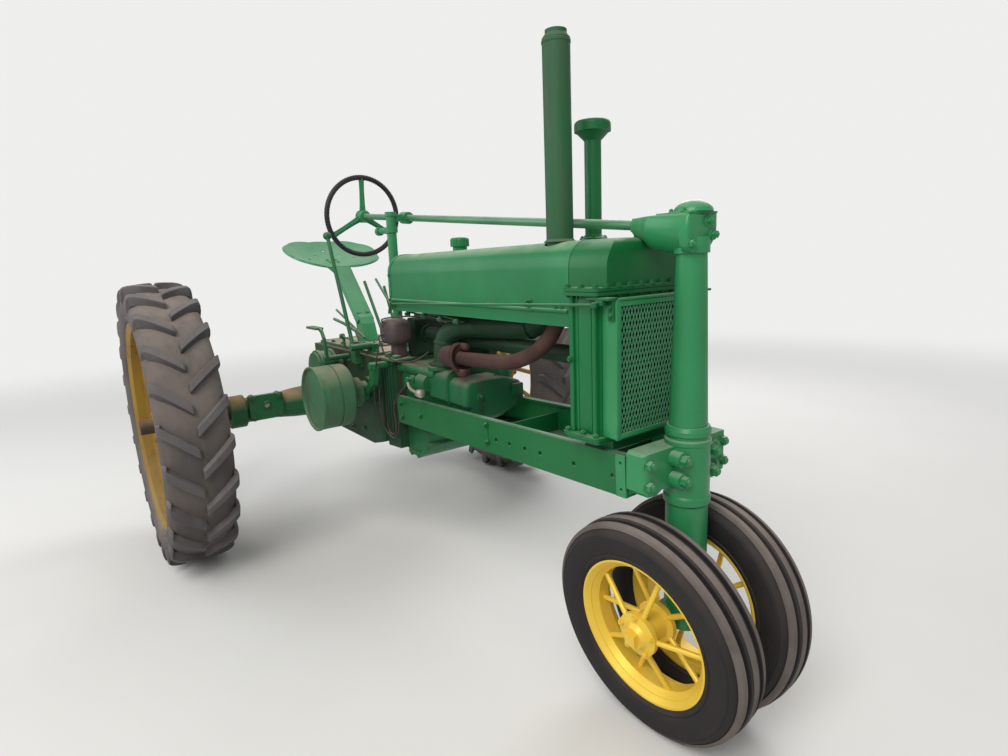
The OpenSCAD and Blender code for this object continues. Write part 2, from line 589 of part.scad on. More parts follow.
// Hood sheet with a hole for the exhaust stack, a rolled bead and a turned-in lower edge
hood_len = hood_x1 - hood_x0;
bead_z = 43;
bead_r = 6;
module hood() color(green) at_frame() {
    difference() {
        intersection() {
            translate([hood_x1, 0, hood_z0]) rotate([0, -hood_fall, 0]) translate([-hood_len - 30, 0, 0])
                rotate([90, 0, 90]) linear_extrude(hood_len + 60) difference() {
                    hood_section();
                    translate([0, -60]) hood_section(hood_t);
                    hood_section(hood_t);
                }
            box([hood_x0, hood_x1], [-far, far], [hood_z0, far]);
        }
        zrod(exhaust_x, exhaust_y, [hood_z0, hood_z1 + 50], exhaust_r + 6);
    }
    both() {
        xrod([hood_x0 + 2, hood_x1 - 2], hood_half - 0.5, hood_z0 + bead_z, bead_r, 32);
        box([hood_x0 + 2, hood_x1 - 2], [hood_half - 16, hood_half - 0.5], [hood_z0 + 0.5, hood_z0 + 3.5]);
    }
}

// Filler caps with domed tops and a knurl round the edge, on short necks
cap_r = 37;
module filler_cap(x, y, z) translate([x, y, z]) difference() {
    rotate_extrude($fn = 64) polygon(concat([[0, 0], [cap_r - 9, 0], [cap_r - 9, 16], [cap_r, 18],
        [cap_r, 42]], arc([cap_r - 10, 42], 10, 30, 80, 3), [[0, 54]]));
    for (a = [0:24:336]) rotate([0, 0, a]) zrod(cap_r + 3, 0, [17, 60], 5, 16);
}
module filler_caps() color(green) at_frame() {
    filler_cap(hood_x0 + 305, 0, hood_top_at(hood_x0 + 305 + cap_r) + seat_gap);
    filler_cap((hood_x1 + rad_x1) / 2 - 10, 70, hood_z1 + seat_gap);
}

module fuel_tank() color(green) at_frame() cross_plate([[seat_gap + hood_t - hood_half, hood_z0 + 50],
    [40 - hood_half, hood_z0 + 24], [hood_half - 40, hood_z0 + 24], [hood_half - hood_t - seat_gap, hood_z0 + 50],
    [hood_half - hood_t - seat_gap, hood_top_at(hood_x0) - hood_corner_r],
    [seat_gap + hood_t - hood_half, hood_top_at(hood_x0) - hood_corner_r]], [hood_x0 + 2, hood_x1 - 333]);

// Channel rails with a row of holes and a folded strip at the front end
hole_z = -75;
hole_r = 8;
rail_holes = [for (i = [0:3]) block_x1 + 118 + 60 * i];
module rail_frame() translate([rail_x1, 0, rail_top]) rotate([0, -frame_fall, 0]) children();
module frame_rail(side) color(green) at_frame() mirrored(side) rail_frame() difference() {
    union() {
        box([rail_x0 - rail_x1, -5], [rail_half - rail_t, rail_half], [-rail_h, 0]);
        for (z = [-rail_h, -rail_t])
            box([rail_x0 - rail_x1, -5], [rail_half - rail_flange, rail_half], [z, z + rail_t]);
        box([-44, -5], [rail_half - 1, rail_half + 3], [-rail_h, 0]);
    }
    for (x = concat(rail_holes, [rail_x1 - 80])) yrod(x - rail_x1, [rail_half - 20, rail_half + 4], hole_z, hole_r);
}
module frame_rail_right() frame_rail(-1);
module frame_rail_left() frame_rail(1);

// Folded tray across the rails under the fan, with a raised middle
tray_half = rail_half - rail_t - seat_gap;
tray_z = rail_t + seat_gap - rail_h;
tray_rear = cover_x1 + 40 - rail_x1;
tray_front = rad_x0 - 20 - rail_x1;
module cross_tray() color(green) at_frame() rail_frame() side_plate([[tray_rear, tray_z], [tray_front, tray_z],
    [tray_front, tray_z + 5], [tray_front - 50, tray_z + 5], [tray_front - 120, tray_z + 62],
    [tray_rear + 110, tray_z + 78], [tray_rear, tray_z + 30], [tray_rear, tray_z + 25],
    [tray_rear + 110, tray_z + 73], [tray_front - 122, tray_z + 57], [tray_front - 54, tray_z + 5],
    [tray_rear, tray_z + 5]], [-tray_half, tray_half]);

// Front casting: a bolted nose across the rails, round the steering pivot
cast_z0 = rail_z + 20;
cast_z1 = rail_top + 18;
hub_z0 = rail_z - 32;
cast_r = 60;
pin_r = 32;
bolt_z = [cast_z1 - 88, cast_z1 - 30];
column_z0 = cast_z1 + 50;
module front_casting() color(green) at_frame() difference() {
    union() {
        intersection() {
            cross_plate([[-rail_half - 6, cast_z0 + 12], [6 - rail_half, cast_z0], [40 - rail_half, cast_z0 - 2],
                [60 - rail_half, cast_z0 + 8], [-70, cast_z0 + 6], [-40, cast_z0 - 20], [40, cast_z0 - 20],
                [70, cast_z0 + 6], [rail_half - 60, cast_z0 + 8], [rail_half - 40, cast_z0 - 2],
                [rail_half - 6, cast_z0], [rail_half + 6, cast_z0 + 12], [rail_half + 6, cast_z1 - 8],
                [rail_half - 4, cast_z1], [4 - rail_half, cast_z1], [-rail_half - 6, cast_z1 - 8]],
                [rail_x1 + 2, column_x + 2]);
            plan_block([rail_x1 - 90, column_x + 2], [-rail_half - 6, rail_half + 6], [hub_z0, cast_z1], 16);
        }
        box([rail_x1 - 60, rail_x1 + 4], [rail_half - rail_t - 34, rail_half - rail_t], [rail_z + rail_t + 1, rail_top - rail_t - 3]);
        mirror([0, 1, 0]) box([rail_x1 - 60, rail_x1 + 4], [rail_half - rail_t - 34, rail_half - rail_t],
            [rail_z + rail_t + 1, rail_top - rail_t - 3]);
        box([rail_x1 - 60, rail_x1 + 4], [rail_t - rail_half + 30, rail_half - rail_t - 30],
            [rail_z + rail_t, rail_top - rail_t - 20]);
        translate([column_x, 0, 0]) rotate_extrude($fn = 64) polygon([[0, hub_z0], [cast_r - 2, hub_z0],
            [cast_r + 3, hub_z0 + 4], [cast_r + 3, hub_z0 + 22], [cast_r, hub_z0 + 28], [cast_r, cast_z1 - 2],
            [cast_r + 2, cast_z1 + 2], [cast_r + 2, cast_z1 + 12], [cast_r - 5, cast_z1 + 16],
            [cast_r - 5, cast_z1 + 24], [cast_r + 1, cast_z1 + 27], [cast_r + 1, cast_z1 + 40],
            [cast_r - 4, column_z0], [0, column_z0]]);
        both() for (z = bolt_z) xrod([column_x - 20, column_x + 34], 64, z, 21);
    }
    zrod(column_x, 0, [hub_z0 - 1, cast_z1], pin_r, 64);
}

// Column up to the steering gear, slimmer at its head
column_z1 = hood_z1 - 48;
module front_column() color(green) at_frame() translate([column_x, 0, column_z0])
    cylinder(h = column_z1 - column_z0, r1 = column_r, r2 = column_r - 12, $fn = 64);

// Steering gear case: a tapered barrel along the shaft, a flat lid with a dome, a front cover
shaft_z1 = hood_z1 + shaft_over;
barrel_r = 48;
lid_z = shaft_z1 + 38;
module along_shaft(x) translate([x, 0, shaft_z1 + (column_x - x) * tan(shaft_rise)])
    rotate([0, -90 + shaft_rise, 0]) children();
module steering_gear_case() color(green) at_frame() difference() {
    union() {
        zrod(column_x, 0, [column_z1, lid_z - 6], 42, 64);
        intersection() {
            along_shaft(column_x) translate([0, 0, -22]) rotate_extrude($fn = 64) polygon([[0, 0], [barrel_r + 6, 0],
                [barrel_r + 6, 8], [barrel_r, 10], [barrel_r, 112], [42, 150], [26, 190], [22, 206], [0, 206]]);
            box([0, far], [-far, far], [0, lid_z - 5]);
        }
        side_plate([[column_x - 64, lid_z - 6], [column_x + 44, lid_z - 8], [column_x + 44, lid_z - 2],
            [column_x - 64, lid_z]], [-52, 50]);
        intersection() {
            translate([column_x, 0, lid_z - 34]) sphere(r = 60, $fn = 64);
            zrod(column_x, 0, [lid_z - 4, lid_z + 40], 49, 64);
        }
        cross_plate(concat([[-50, shaft_z1 + 34], [50, shaft_z1 + 34], [50, shaft_z1 - 36]],
            [[20, shaft_z1 - 56], [-20, shaft_z1 - 58], [-52, shaft_z1 - 40]]), [column_x + 26, column_x + 40]);
        xrod([column_x + 20, column_x + 46], 0, shaft_z1 - 8, 30, 64);
    }
    along_shaft(column_x) cylinder(h = 300, r = shaft_r + fit, $fn = 64);
}

// Front wheels lean outwards on the ends of the fork's axle
rib_half = 9;
front_rim_half = 54;
front_lip = 13;
front_hub_in = -40;
front_hub_out = 78;
front_bore_end = 66;
hub_z = front_tyre_r * cos(front_camber) + rib_half * sin(front_camber);
module front_wheel_frame(side) mirrored(side)
    translate([wheelbase, front_track / 2, hub_z]) rotate([-front_camber, 0, 0]) children();
module front_fork() color(green) at_frame() {
    zrod(column_x, 0, [hub_z - 16, hub_z0 - 2], cast_r - 3, 64);
    zrod(column_x, 0, [hub_z0 - 3, cast_z1 - 4], pin_r - fit, 64);
    for (s = [-1, 1]) front_wheel_frame(s) rotate([90, 0, 0]) {
        translate([0, 0, 2 - front_bore_end])
            cylinder(h = front_bore_end - 2 + front_track / 2, r = stub_r, $fn = 48);
        translate([0, 0, -front_hub_in + 1]) cylinder(h = front_track / 2 + front_hub_in - 1, r = 38, $fn = 48);
    }
}

function rim_line(seat, half, lip, well, well_half, t) = [
    [seat + lip - t, -half], [seat - t, 14 - half], [seat - t, -well_half - 18],
    [seat - well - t, -well_half], [seat - well - t, well_half], [seat - t, well_half + 18],
    [seat - t, half - 14], [seat + lip - t, half]];
function rim_outline(seat, half, lip, well, well_half, t) =
    concat(rim_line(seat, half, lip, well, well_half, 0),
        reversed(rim_line(seat, half, lip, well, well_half, t)));
// Spokes that start in turn from the outer and the inner flange of a hub
module wheel_spokes(count, hub_r, rim_r, y_out, y_in, r) for (i = [0:count - 1])
    rotate([0, i * 360 / count, 0]) let (y = i % 2 == 0 ? y_out : y_in)
        bar([hub_r, y, 0], [rim_r, y / 5, 0], r);

module front_wheel(side) color(yellow) at_frame() front_wheel_frame(side) difference() {
    union() {
        wheel_turn(rim_outline(front_seat_r, front_rim_half, front_lip, 14, 20, rim_t));
        wheel_turn([[0, front_hub_in], [48, front_hub_in], [60, -34], [60, -20], [44, -14], [44, 40],
            [62, 46], [62, 60], [40, 66], [30, front_hub_out], [0, front_hub_out]], 64);
        translate([0, front_hub_out + 6, 0]) cube([34, 14, 34], center = true);
        wheel_spokes(10, 36, front_seat_r - 17, 53, -27, 8);
    }
    yrod(0, [-60, front_bore_end], 0, stub_r + fit);
}
module front_wheel_right() front_wheel(-1);
module front_wheel_left() front_wheel(1);

// Half of a tyre section from the bead to the shoulder, as a bulged line
function side_line_of(seat, half, lip, shoulder_r, shoulder_y, bulge) = concat(
    [[seat + seat_gap, half - 16], [seat + lip, half - 2]],
    [for (i = [1:5]) let (t = i / 6) [seat + lip + (shoulder_r - seat - lip) * t,
        half + (shoulder_y - half) * t + bulge * sin(180 * t)]],
    [[shoulder_r, shoulder_y]]);
function mirrored_line(line) = [for (i = [len(line) - 1:-1:0]) [line[i][0], -line[i][1]]];
function tyre_outline(line, crown) = concat(line, crown, mirrored_line(line));

front_side = side_line_of(front_seat_r, front_rim_half, front_lip, front_tyre_r - 15, front_tyre_w / 2 - 13, 9);
front_crown = [[front_tyre_r - 6, 45], [front_tyre_r - 4, 31], [front_tyre_r - 14, 28], [front_tyre_r - 13, 14],
    [front_tyre_r - 1, 11], [front_tyre_r, rib_half]];
module front_tyre(side) color(rubber) at_frame() front_wheel_frame(side)
    wheel_turn(tyre_outline(front_side, concat(front_crown, mirrored_line(front_crown))));
module front_tyre_right() front_tyre(-1);
module front_tyre_left() front_tyre(1);

rear_rim_half = 114;
rear_lip = 20;
rear_hub_half = 78;
module rear_wheel_frame(side) mirrored(side) translate([0, rear_half, axle_z]) children();
module rear_wheel(side) color(yellow) at_frame() rear_wheel_frame(side) difference() {
    union() {
        wheel_turn(rim_outline(rear_seat_r, rear_rim_half, rear_lip, 18, 40, rim_t));
        wheel_turn([[0, -rear_hub_half], [82, -rear_hub_half], [98, -62], [98, -42], [70, -34], [70, 34],
            [98, 42], [98, 62], [82, rear_hub_half], [0, rear_hub_half]], 64);
        wheel_spokes(16, 64, rear_seat_r - 20, 52, -52, 13);
    }
    yrod(0, [-100, 100], 0, rear_axle_r + fit, 64);
}
module rear_wheel_right() rear_wheel(-1);
module rear_wheel_left() rear_wheel(1);

// Rear tyre: a bulged carcass and two staggered rows of slanted lugs
carcass_r = rear_tyre_r - lug_h;
tyre_sides = lug_count;
rear_bead = rear_seat_r / cos(180 / tyre_sides) + seat_gap;
rear_flange = (rear_seat_r + rear_lip) / cos(180 / tyre_sides) + seat_gap;
shoulder_y = rear_tyre_w / 2 - 22;
rear_side = [[rear_bead, rear_rim_half - 17], [rear_flange, rear_rim_half - 3], [rear_flange + 30, rear_rim_half + 14],
    [carcass_r - 52, shoulder_y + 14]];
rear_crown = [[carcass_r - 4, 70]];
lug_step = 360 / lug_count;
// One end of a lug, square to the radius at an angle round the tyre, offset y from the middle
module lug_end(angle, y, r0, r1, w) rotate([0, angle, 0]) translate([r0, y, -w / 2]) cube([r1 - r0, 2, w]);
module tyre_lug() {
    hull() {
        lug_end(0, 4, carcass_r - 14, rear_tyre_r, 28);
        lug_end(-lug_step * 0.62, rear_tyre_w / 2 - 6, carcass_r - 60, rear_tyre_r - 16, 34);
    }
}
module rear_tyre(side) color(rubber) at_frame() rear_wheel_frame(side) {
    wheel_turn(tyre_outline(rear_side, concat(rear_crown, mirrored_line(rear_crown))), tyre_sides);
    for (i = [0:lug_count - 1]) rotate([0, i * lug_step, 0]) {
        tyre_lug();
        rotate([0, lug_step / 2, 0]) mirror([0, 1, 0]) tyre_lug();
    }
}
module rear_tyre_right() rear_tyre(-1);
module rear_tyre_left() rear_tyre(1);

// Post that carries the rear of the steering shaft, with a cross arm and a throttle quadrant
post_x = rail_x0 - 120;
post_y = -75;
function shaft_z(x) = shaft_z1 + (column_x - x) * tan(shaft_rise);
module steering_post() color(green) at_frame() difference() {
    union() {
        zrod(post_x, post_y, [case_top, case_top + 20], 44);
        zrod(post_x, post_y, [case_top + 19, case_top + 90], 30);
        zrod(post_x, post_y, [case_top + 89, shaft_z(post_x) + 10], 21);
        zrod(post_x, post_y, [shaft_z(post_x) - 64, shaft_z(post_x) - 40], 27);
        zrod(post_x, post_y, [shaft_z(post_x) + 6, shaft_z(post_x) + 24], 25);
        along_shaft(post_x) translate([0, 0, -26]) cylinder(h = 52, r = 26, $fn = 48);
        box([post_x - 10, post_x + 10], [post_y, -16], [shaft_z(post_x) - 15, shaft_z(post_x) + 13]);
        xrod([post_x - 118, post_x - 18], post_y - 2, shaft_z(post_x) - 52, 13);
        xrod([post_x - 128, post_x - 108], post_y - 2, shaft_z(post_x) - 52, 19);
    }
    along_shaft(post_x) translate([0, 0, -60]) cylinder(h = 120, r = shaft_r + fit, $fn = 48);
}

shaft_front = column_x - 60;
module steering_shaft() color(green) at_frame() along_shaft(shaft_front)
    cylinder(h = (shaft_front - wheel_x) / cos(shaft_rise), r = shaft_r, $fn = 64);

// Three-spoked wheel with a thick ribbed grip
module steering_wheel() color(black) at_frame() along_shaft(wheel_x) {
    difference() {
        union() {
            translate([0, 0, -34]) cylinder(h = 60, r = 30, $fn = 48);
            for (a = [60, 180, 300]) rotate([0, 0, a]) {
                translate([20, -13, -4]) cube([wheel_r - 24, 26, 7]);
                translate([20, -4, -9]) cube([wheel_r - 24, 8, 8]);
            }
        }
        translate([0, 0, -40]) cylinder(h = 40, r = shaft_r + fit, $fn = 64);
    }
    rotate_extrude($fn = 96) translate([wheel_r, 0]) circle(grip_r, $fn = 24);
}

// Dished seat pan, tilted forwards, with two front lobes and drain holes
dish_r = 620;
sheet = 5;
module seat_frame() translate([-seat_back, 0, seat_z]) rotate([0, seat_tilt, 0]) children();
module seat() color(green) at_frame() seat_frame() difference() {
    intersection() {
        translate([0, 0, dish_r]) difference() {
            sphere(r = dish_r, $fn = 96);
            sphere(r = dish_r - sheet, $fn = 96);
        }
        translate([0, 0, -sheet]) linear_extrude(140) difference() {
            union() {
                translate([-14, 0]) circle(186, $fn = 64);
                both() {
                    translate([-24, 70]) circle(168, $fn = 48);
                    translate([-2, seat_w / 2 - 152]) circle(152, $fn = 48);
                    translate([22, seat_w / 2 - 136]) circle(136, $fn = 48);
                    translate([100, seat_w / 2 - 128]) circle(104, $fn = 48);
                }
            }
            translate([222, 0]) circle(56, $fn = 48);
        }
    }
    for (p = [[-40, -70], [-40, 70], [30, -130], [30, 130], [-110, 0]])
        zrod(p[0], p[1], [-1, 60], 9, 24);
}

// Seat support: a lower bracket bolted to the case, an inclined channel and a saddle under the pan
support_half = 45;
support_joint = [111, case_top + 137];
support_top = [-seat_back + 151, seat_z - 30];
module seat_support() color(green) at_frame() {
    a = support_joint;
    b = support_top;
    run = (b - a) / norm(b - a);
    up = [run[1], -run[0]];
    side_plate([[a[0] - 20, cover_top], [a[0] + 74, cover_top], [a[0] + 72, cover_top + 12], [a[0] + 44, a[1] - 30],
        [a[0] + 20, a[1] + 6], [a[0] - 14, a[1] + 24], [a[0] - 34, a[1] + 4]], [8 - support_half, support_half - 8]);
    difference() {
        union() {
            side_plate([a - 20 * run, a - 20 * run + 9 * up, b + 30 * run + 9 * up, b + 30 * run],
                [-support_half, support_half]);
            both() side_plate([a - 20 * run - 26 * up, a - 20 * run + 2 * up, b + 30 * run + 2 * up,
                b + 30 * run - 22 * up], [support_half - 7, support_half]);
            side_plate([b + 4 * up, b + [-8, -50], b + [-120, -12], b + [-232, 40], b + [-232, 120], b + [0, 60]],
                [-34, 34]);
        }
        seat_frame() translate([0, 0, dish_r]) sphere(r = dish_r + seat_gap, $fn = 96);
    }
    for (s = [-1, 1], k = [30, -8]) let (c = a + k * run) bar([c[0] - 4 * up[0], 26 * s, c[1] - 4 * up[1]],
        [c[0] + 17 * up[0], 26 * s, c[1] + 17 * up[1]], 9);
}

// Upright bracket and cross boss for the long clutch lever
foot_x = rail_x0 - 220;
foot_z = case_top + 44;
lever_y = -250;
module lever_bracket() color(green) at_frame() {
    side_plate([[foot_x - 118, case_top - 40], [foot_x - 58, case_top - 40], [foot_x - 84, foot_z + 16],
        [foot_x - 124, foot_z + 14]], [-case_half - 34, -case_half - 8]);
    box([foot_x - 118, foot_x - 62], [-case_half - 10, -case_half], [case_top - 60, case_top - 12]);
}
module clutch_lever() color(green) at_frame() {
    bar([foot_x - 20, lever_y, foot_z], [345, lever_y, case_top + 535], 9);
    translate([338, lever_y, case_top + 550]) sphere(r = 19, $fn = 32);
    yrod(foot_x - 20, [lever_y - 14, -150], foot_z, 15);
    box([foot_x - 44, foot_x + 6], [-cover_half + 1, -cover_half + 26], [cover_top + seat_gap, foot_z + 8]);
}

// Shift levers and a bent latch lever beside the seat support
module control_levers() color(green) at_frame() {
    gate = cover_top + 8;
    for (foot = [[352, 0], [372, 60]]) zrod(foot[0], foot[1], [gate, gate + 20], 16);
    bent_rod([[352, 0, gate + 8], [287, 0, case_top + 120], [149, 0, case_top + 326]], 8);
    bar([372, 60, gate + 8], [250, 60, case_top + 300], 7);
    zrod(320, -120, [cover_top, cover_top + 14], 16);
    bent_rod([[320, -120, cover_top + 8], [268, -120, case_top + 88], [126, -120, case_top + 116],
        [-7, -120, case_top + 133]], 8);
    zrod(235, -64, [cover_top, cover_top + 12], 13);
    bent_rod([[235, -64, cover_top + 6], [236, -64, case_top + 46], [-108, -64, case_top + 173]], 6);
}

// Brake pedals: a cross shaft from each brake, a curved arm and a flat pad
pedal_x = 315;
pedal_z = brake_z + 72;
pedal_y = case_half + 110;
module brake_pedals() color(green) at_frame() both() {
    yrod(pedal_x, [case_half, pedal_y + 14], pedal_z, 12);
    side_plate([[pedal_x - 12, pedal_z - 8], [pedal_x + 12, pedal_z - 8], [pedal_x + 10, pedal_z + 50],
        [pedal_x - 4, pedal_z + 100], [pedal_x - 32, pedal_z + 136], [pedal_x - 60, pedal_z + 146],
        [pedal_x - 66, pedal_z + 134], [pedal_x - 40, pedal_z + 122], [pedal_x - 20, pedal_z + 92],
        [pedal_x - 10, pedal_z + 46]], [pedal_y - 6, pedal_y + 6]);
    plan_block([pedal_x - 200, pedal_x - 53], [pedal_y - 20, pedal_y + 20], [pedal_z + 134, pedal_z + 144], 10);
}

// Swinging drawbar under the case, with a hole for the hitch pin
bar_t = 18;
bar_z = case_z0 - 50;
hitch_r = 13;
hitch_x = -290;
module drawbar() color(green) at_frame() difference() {
    union() {
        box([hitch_x, 200], [-36, 36], [bar_z, bar_z + bar_t]);
        zrod(hitch_x, 0, [bar_z, bar_z + bar_t], 36);
        for (x = [-120, 150]) box([x, x + 40], [-52, 52], [bar_z + bar_t, case_z0]);
        zrod(170, 0, [bar_z - 14, bar_z + 1], 18, 6);
    }
    zrod(hitch_x, 0, [bar_z - 1, bar_z + bar_t + 1], hitch_r);
}

// Shutter control: a rod along the hood, its brackets and a hand lever at the rear
rod_rear = [hood_x0 + 27, -hood_half - 14, hood_z0 + 28];
rod_front = [rad_x1 + 6, -rad_half - 12, tank_z0 - 22];
function rod_at(x) = rod_rear + (rod_front - rod_rear) * (x - rod_rear[0]) / (rod_front[0] - rod_rear[0]);
module shutter_rod() color(green) at_frame() {
    bar(rod_rear, rod_front, 4, 16);
    bar(rod_rear - [17, 0, 41], rod_rear + [2, 0, 4], 5, 16);
    bar(rod_rear + [2, 0, -2], rod_rear + [-130, 4, 102], 5, 16);
    zrod(rod_front[0] - 4, rod_front[1], [rod_front[2] - 6, rod_front[2] + 6], 9, 24);
    for (x = [hood_x0 + 40, hood_x1 - 380]) let (p = rod_at(x)) yrod(x, [p[1], -hood_half - seat_gap], p[2], 3, 16);
}

main_case();
case_cover();
axle_housing_right();
axle_housing_left();
brake_housing_right();
brake_housing_left();
engine_block();
cylinder_head();
rocker_cover();
belt_pulley();
pulley_arm();
flywheel();
magneto();
governor_case();
carburettor();
air_cleaner();
exhaust_manifold();
exhaust_stack();
intake_stack();
water_pipe();
fan();
fan_shaft_tube();
radiator();
radiator_core();
radiator_top_tank();
radiator_screen();
hood();
filler_caps();
fuel_tank();
frame_rail_right();
frame_rail_left();
cross_tray();
front_casting();
front_column();
steering_gear_case();
front_fork();
front_wheel_right();
front_wheel_left();
front_tyre_right();
front_tyre_left();
rear_axle_right();
rear_axle_left();
rear_wheel_right();
rear_wheel_left();
rear_tyre_right();
rear_tyre_left();
steering_post();
steering_shaft();
steering_wheel();
seat();
seat_support();
lever_bracket();
clutch_lever();
control_levers();
brake_pedals();
drawbar();
shutter_rod();
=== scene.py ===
import logging
import math
from dataclasses import dataclass
from enum import Enum
from functools import cache
from typing import ClassVar, Iterable, Sequence

import bmesh
import bpy
from mathutils import Matrix, Vector


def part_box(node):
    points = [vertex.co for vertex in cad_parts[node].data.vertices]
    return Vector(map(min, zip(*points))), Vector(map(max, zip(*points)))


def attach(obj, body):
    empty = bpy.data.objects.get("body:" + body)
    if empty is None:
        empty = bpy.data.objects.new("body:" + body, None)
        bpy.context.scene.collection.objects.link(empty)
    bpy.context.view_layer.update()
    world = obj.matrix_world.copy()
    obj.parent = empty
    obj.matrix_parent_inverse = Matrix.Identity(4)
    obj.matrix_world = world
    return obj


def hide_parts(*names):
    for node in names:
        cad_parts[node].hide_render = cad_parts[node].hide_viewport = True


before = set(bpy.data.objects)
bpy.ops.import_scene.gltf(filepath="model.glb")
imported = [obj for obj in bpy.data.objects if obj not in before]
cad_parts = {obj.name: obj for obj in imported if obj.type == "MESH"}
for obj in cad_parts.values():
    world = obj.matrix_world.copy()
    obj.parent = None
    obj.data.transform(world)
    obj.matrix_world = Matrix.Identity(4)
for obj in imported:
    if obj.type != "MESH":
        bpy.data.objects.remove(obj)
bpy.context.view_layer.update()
LOG = logging.getLogger("tractor")
REAR_X = -903.5
MILLIMETRES = 1000.0
RIGHT, LEFT = -1, 1

Pair = tuple[float, float]
Point = tuple[float, float, float]
Colour = tuple[float, float, float]
Socket = bpy.types.NodeSocket
Tree = bpy.types.NodeTree


def at(x: float, y: float, z: float) -> Vector:
    """Turns a place measured from the rear axle into the row frame.

    Args:
        x: Millimetres forward of the rear axle.
        y: Millimetres to the left of the middle.
        z: Millimetres above the ground.

    Returns:
        The place in metres.
    """
    return Vector(((x + REAR_X) / MILLIMETRES, y / MILLIMETRES, z / MILLIMETRES))


def eased(points: Sequence[Point], per: int = 6) -> list[Point]:
    """Draws a smooth line through a few points.

    Args:
        points: Points of the line.
        per: New points for each span.

    Returns:
        Points of the smooth line.
    """
    ends = [Vector(p) for p in points]
    padded = [2 * ends[0] - ends[1]] + ends + [2 * ends[-1] - ends[-2]]
    line: list[Point] = []
    for i in range(1, len(padded) - 2):
        a, b, c, d = padded[i - 1 : i + 3]
        for k in range(per):
            t = k / per
            line.append(tuple(0.5 * (2 * b + (c - a) * t + (2 * a - 5 * b + 4 * c - d) * t * t
                                     + (3 * b - a - 3 * c + d) * t ** 3)))
    line.append(tuple(ends[-1]))
    return line


def put(name: str, data: bpy.types.ID) -> bpy.types.Object:
    """Makes an object and links it to the scene.

    Args:
        name: Name of the object.
        data: Its mesh, curve, light or camera.

    Returns:
        The object.
    """
    made = bpy.data.objects.new(name, data)
    bpy.context.scene.collection.objects.link(made)
    return made


class Slot(Enum):
    """Material slots of the record."""

    GREEN = "green_enamel"
    DUSTY = "dusty_enamel"
    YELLOW = "wheel_yellow"
    RUBBER = "tyre_rubber"
    RUST = "rusty_iron"
    MAGNETO = "magneto_case"
    GRIP = "grip_black"
    CORE = "core_dark"


class Nodes:
    """Small helper that adds and links the nodes of one tree."""

    def __init__(self, tree: Tree) -> None:
        """Starts with a tree.

        Args:
            tree: Node tree to fill.
        """
        self.tree = tree

    def add(self, kind: str, **values: object) -> bpy.types.Node:
        """Adds a node.

        Args:
            kind: Blender's type name of the node.
            **values: Properties to set on the node.

        Returns:
            The new node.
        """
        node = self.tree.nodes.new(kind)
        for key, value in values.items():
            setattr(node, key, value)
        return node

    def link(self, source: Socket, target: Socket) -> None:
        """Joins two sockets.

        Args:
            source: Output socket.
            target: Input socket.
        """
        self.tree.links.new(source, target)

    def feed(self, value: object, target: Socket) -> None:
        """Gives an input a value of its own or another socket's.

        Args:
            value: Value or socket.
            target: Input socket.
        """
        if isinstance(value, Socket):
            self.link(value, target)
        else:
            target.default_value = value

    def noise(self, where: Socket, scale: object, detail: float,
              roughness: float = 0.5) -> Socket:
        """Adds a noise pattern.

        Args:
            where: Socket of the place.
            scale: Scale, or its socket.
            detail: Number of finer layers.
            roughness: Strength of the finer layers.

        Returns:
            The pattern's socket.
        """
        node = self.add("ShaderNodeTexNoise")
        for label, value in (("Vector", where), ("Scale", scale), ("Detail", detail), ("Roughness", roughness)):
            self.feed(value, node.inputs[label])
        return node.outputs["Fac"]

    def math(self, operation: str, a: object, b: object = 0.0) -> Socket:
        """Adds a sum of two values.

        Args:
            operation: Blender's name of the operation.
            a: First number or socket.
            b: Second number or socket.

        Returns:
            The result's socket.
        """
        node = self.add("ShaderNodeMath", operation=operation)
        for place, value in enumerate((a, b)):
            self.feed(value, node.inputs[place])
        return node.outputs[0]

    def ramp(self, value: Socket, low: float, high: float,
             to_low: float = 0.0, to_high: float = 1.0) -> Socket:
        """Adds a smooth step from one range to another.

        Args:
            value: Socket to read.
            low: Start of the step.
            high: End of the step.
            to_low: Result before the step.
            to_high: Result after the step.

        Returns:
            The result's socket.
        """
        node = self.add("ShaderNodeMapRange", interpolation_type="SMOOTHSTEP")
        self.link(value, node.inputs["Value"])
        for name, number in (("From Min", low), ("From Max", high), ("To Min", to_low), ("To Max", to_high)):
            node.inputs[name].default_value = number
        return node.outputs["Result"]

    def mix(self, factor: Socket, a: object, b: object) -> Socket:
        """Adds a mix of two colours.

        Args:
            factor: Share of the second colour.
            a: First colour or socket.
            b: Second colour or socket.

        Returns:
            The mixed colour's socket.
        """
        node = self.add("ShaderNodeMix", data_type="RGBA")
        self.link(factor, node.inputs[0])
        for place, value in ((6, a), (7, b)):
            self.feed(value if isinstance(value, Socket) else (*value, 1.0), node.inputs[place])
        return node.outputs[2]


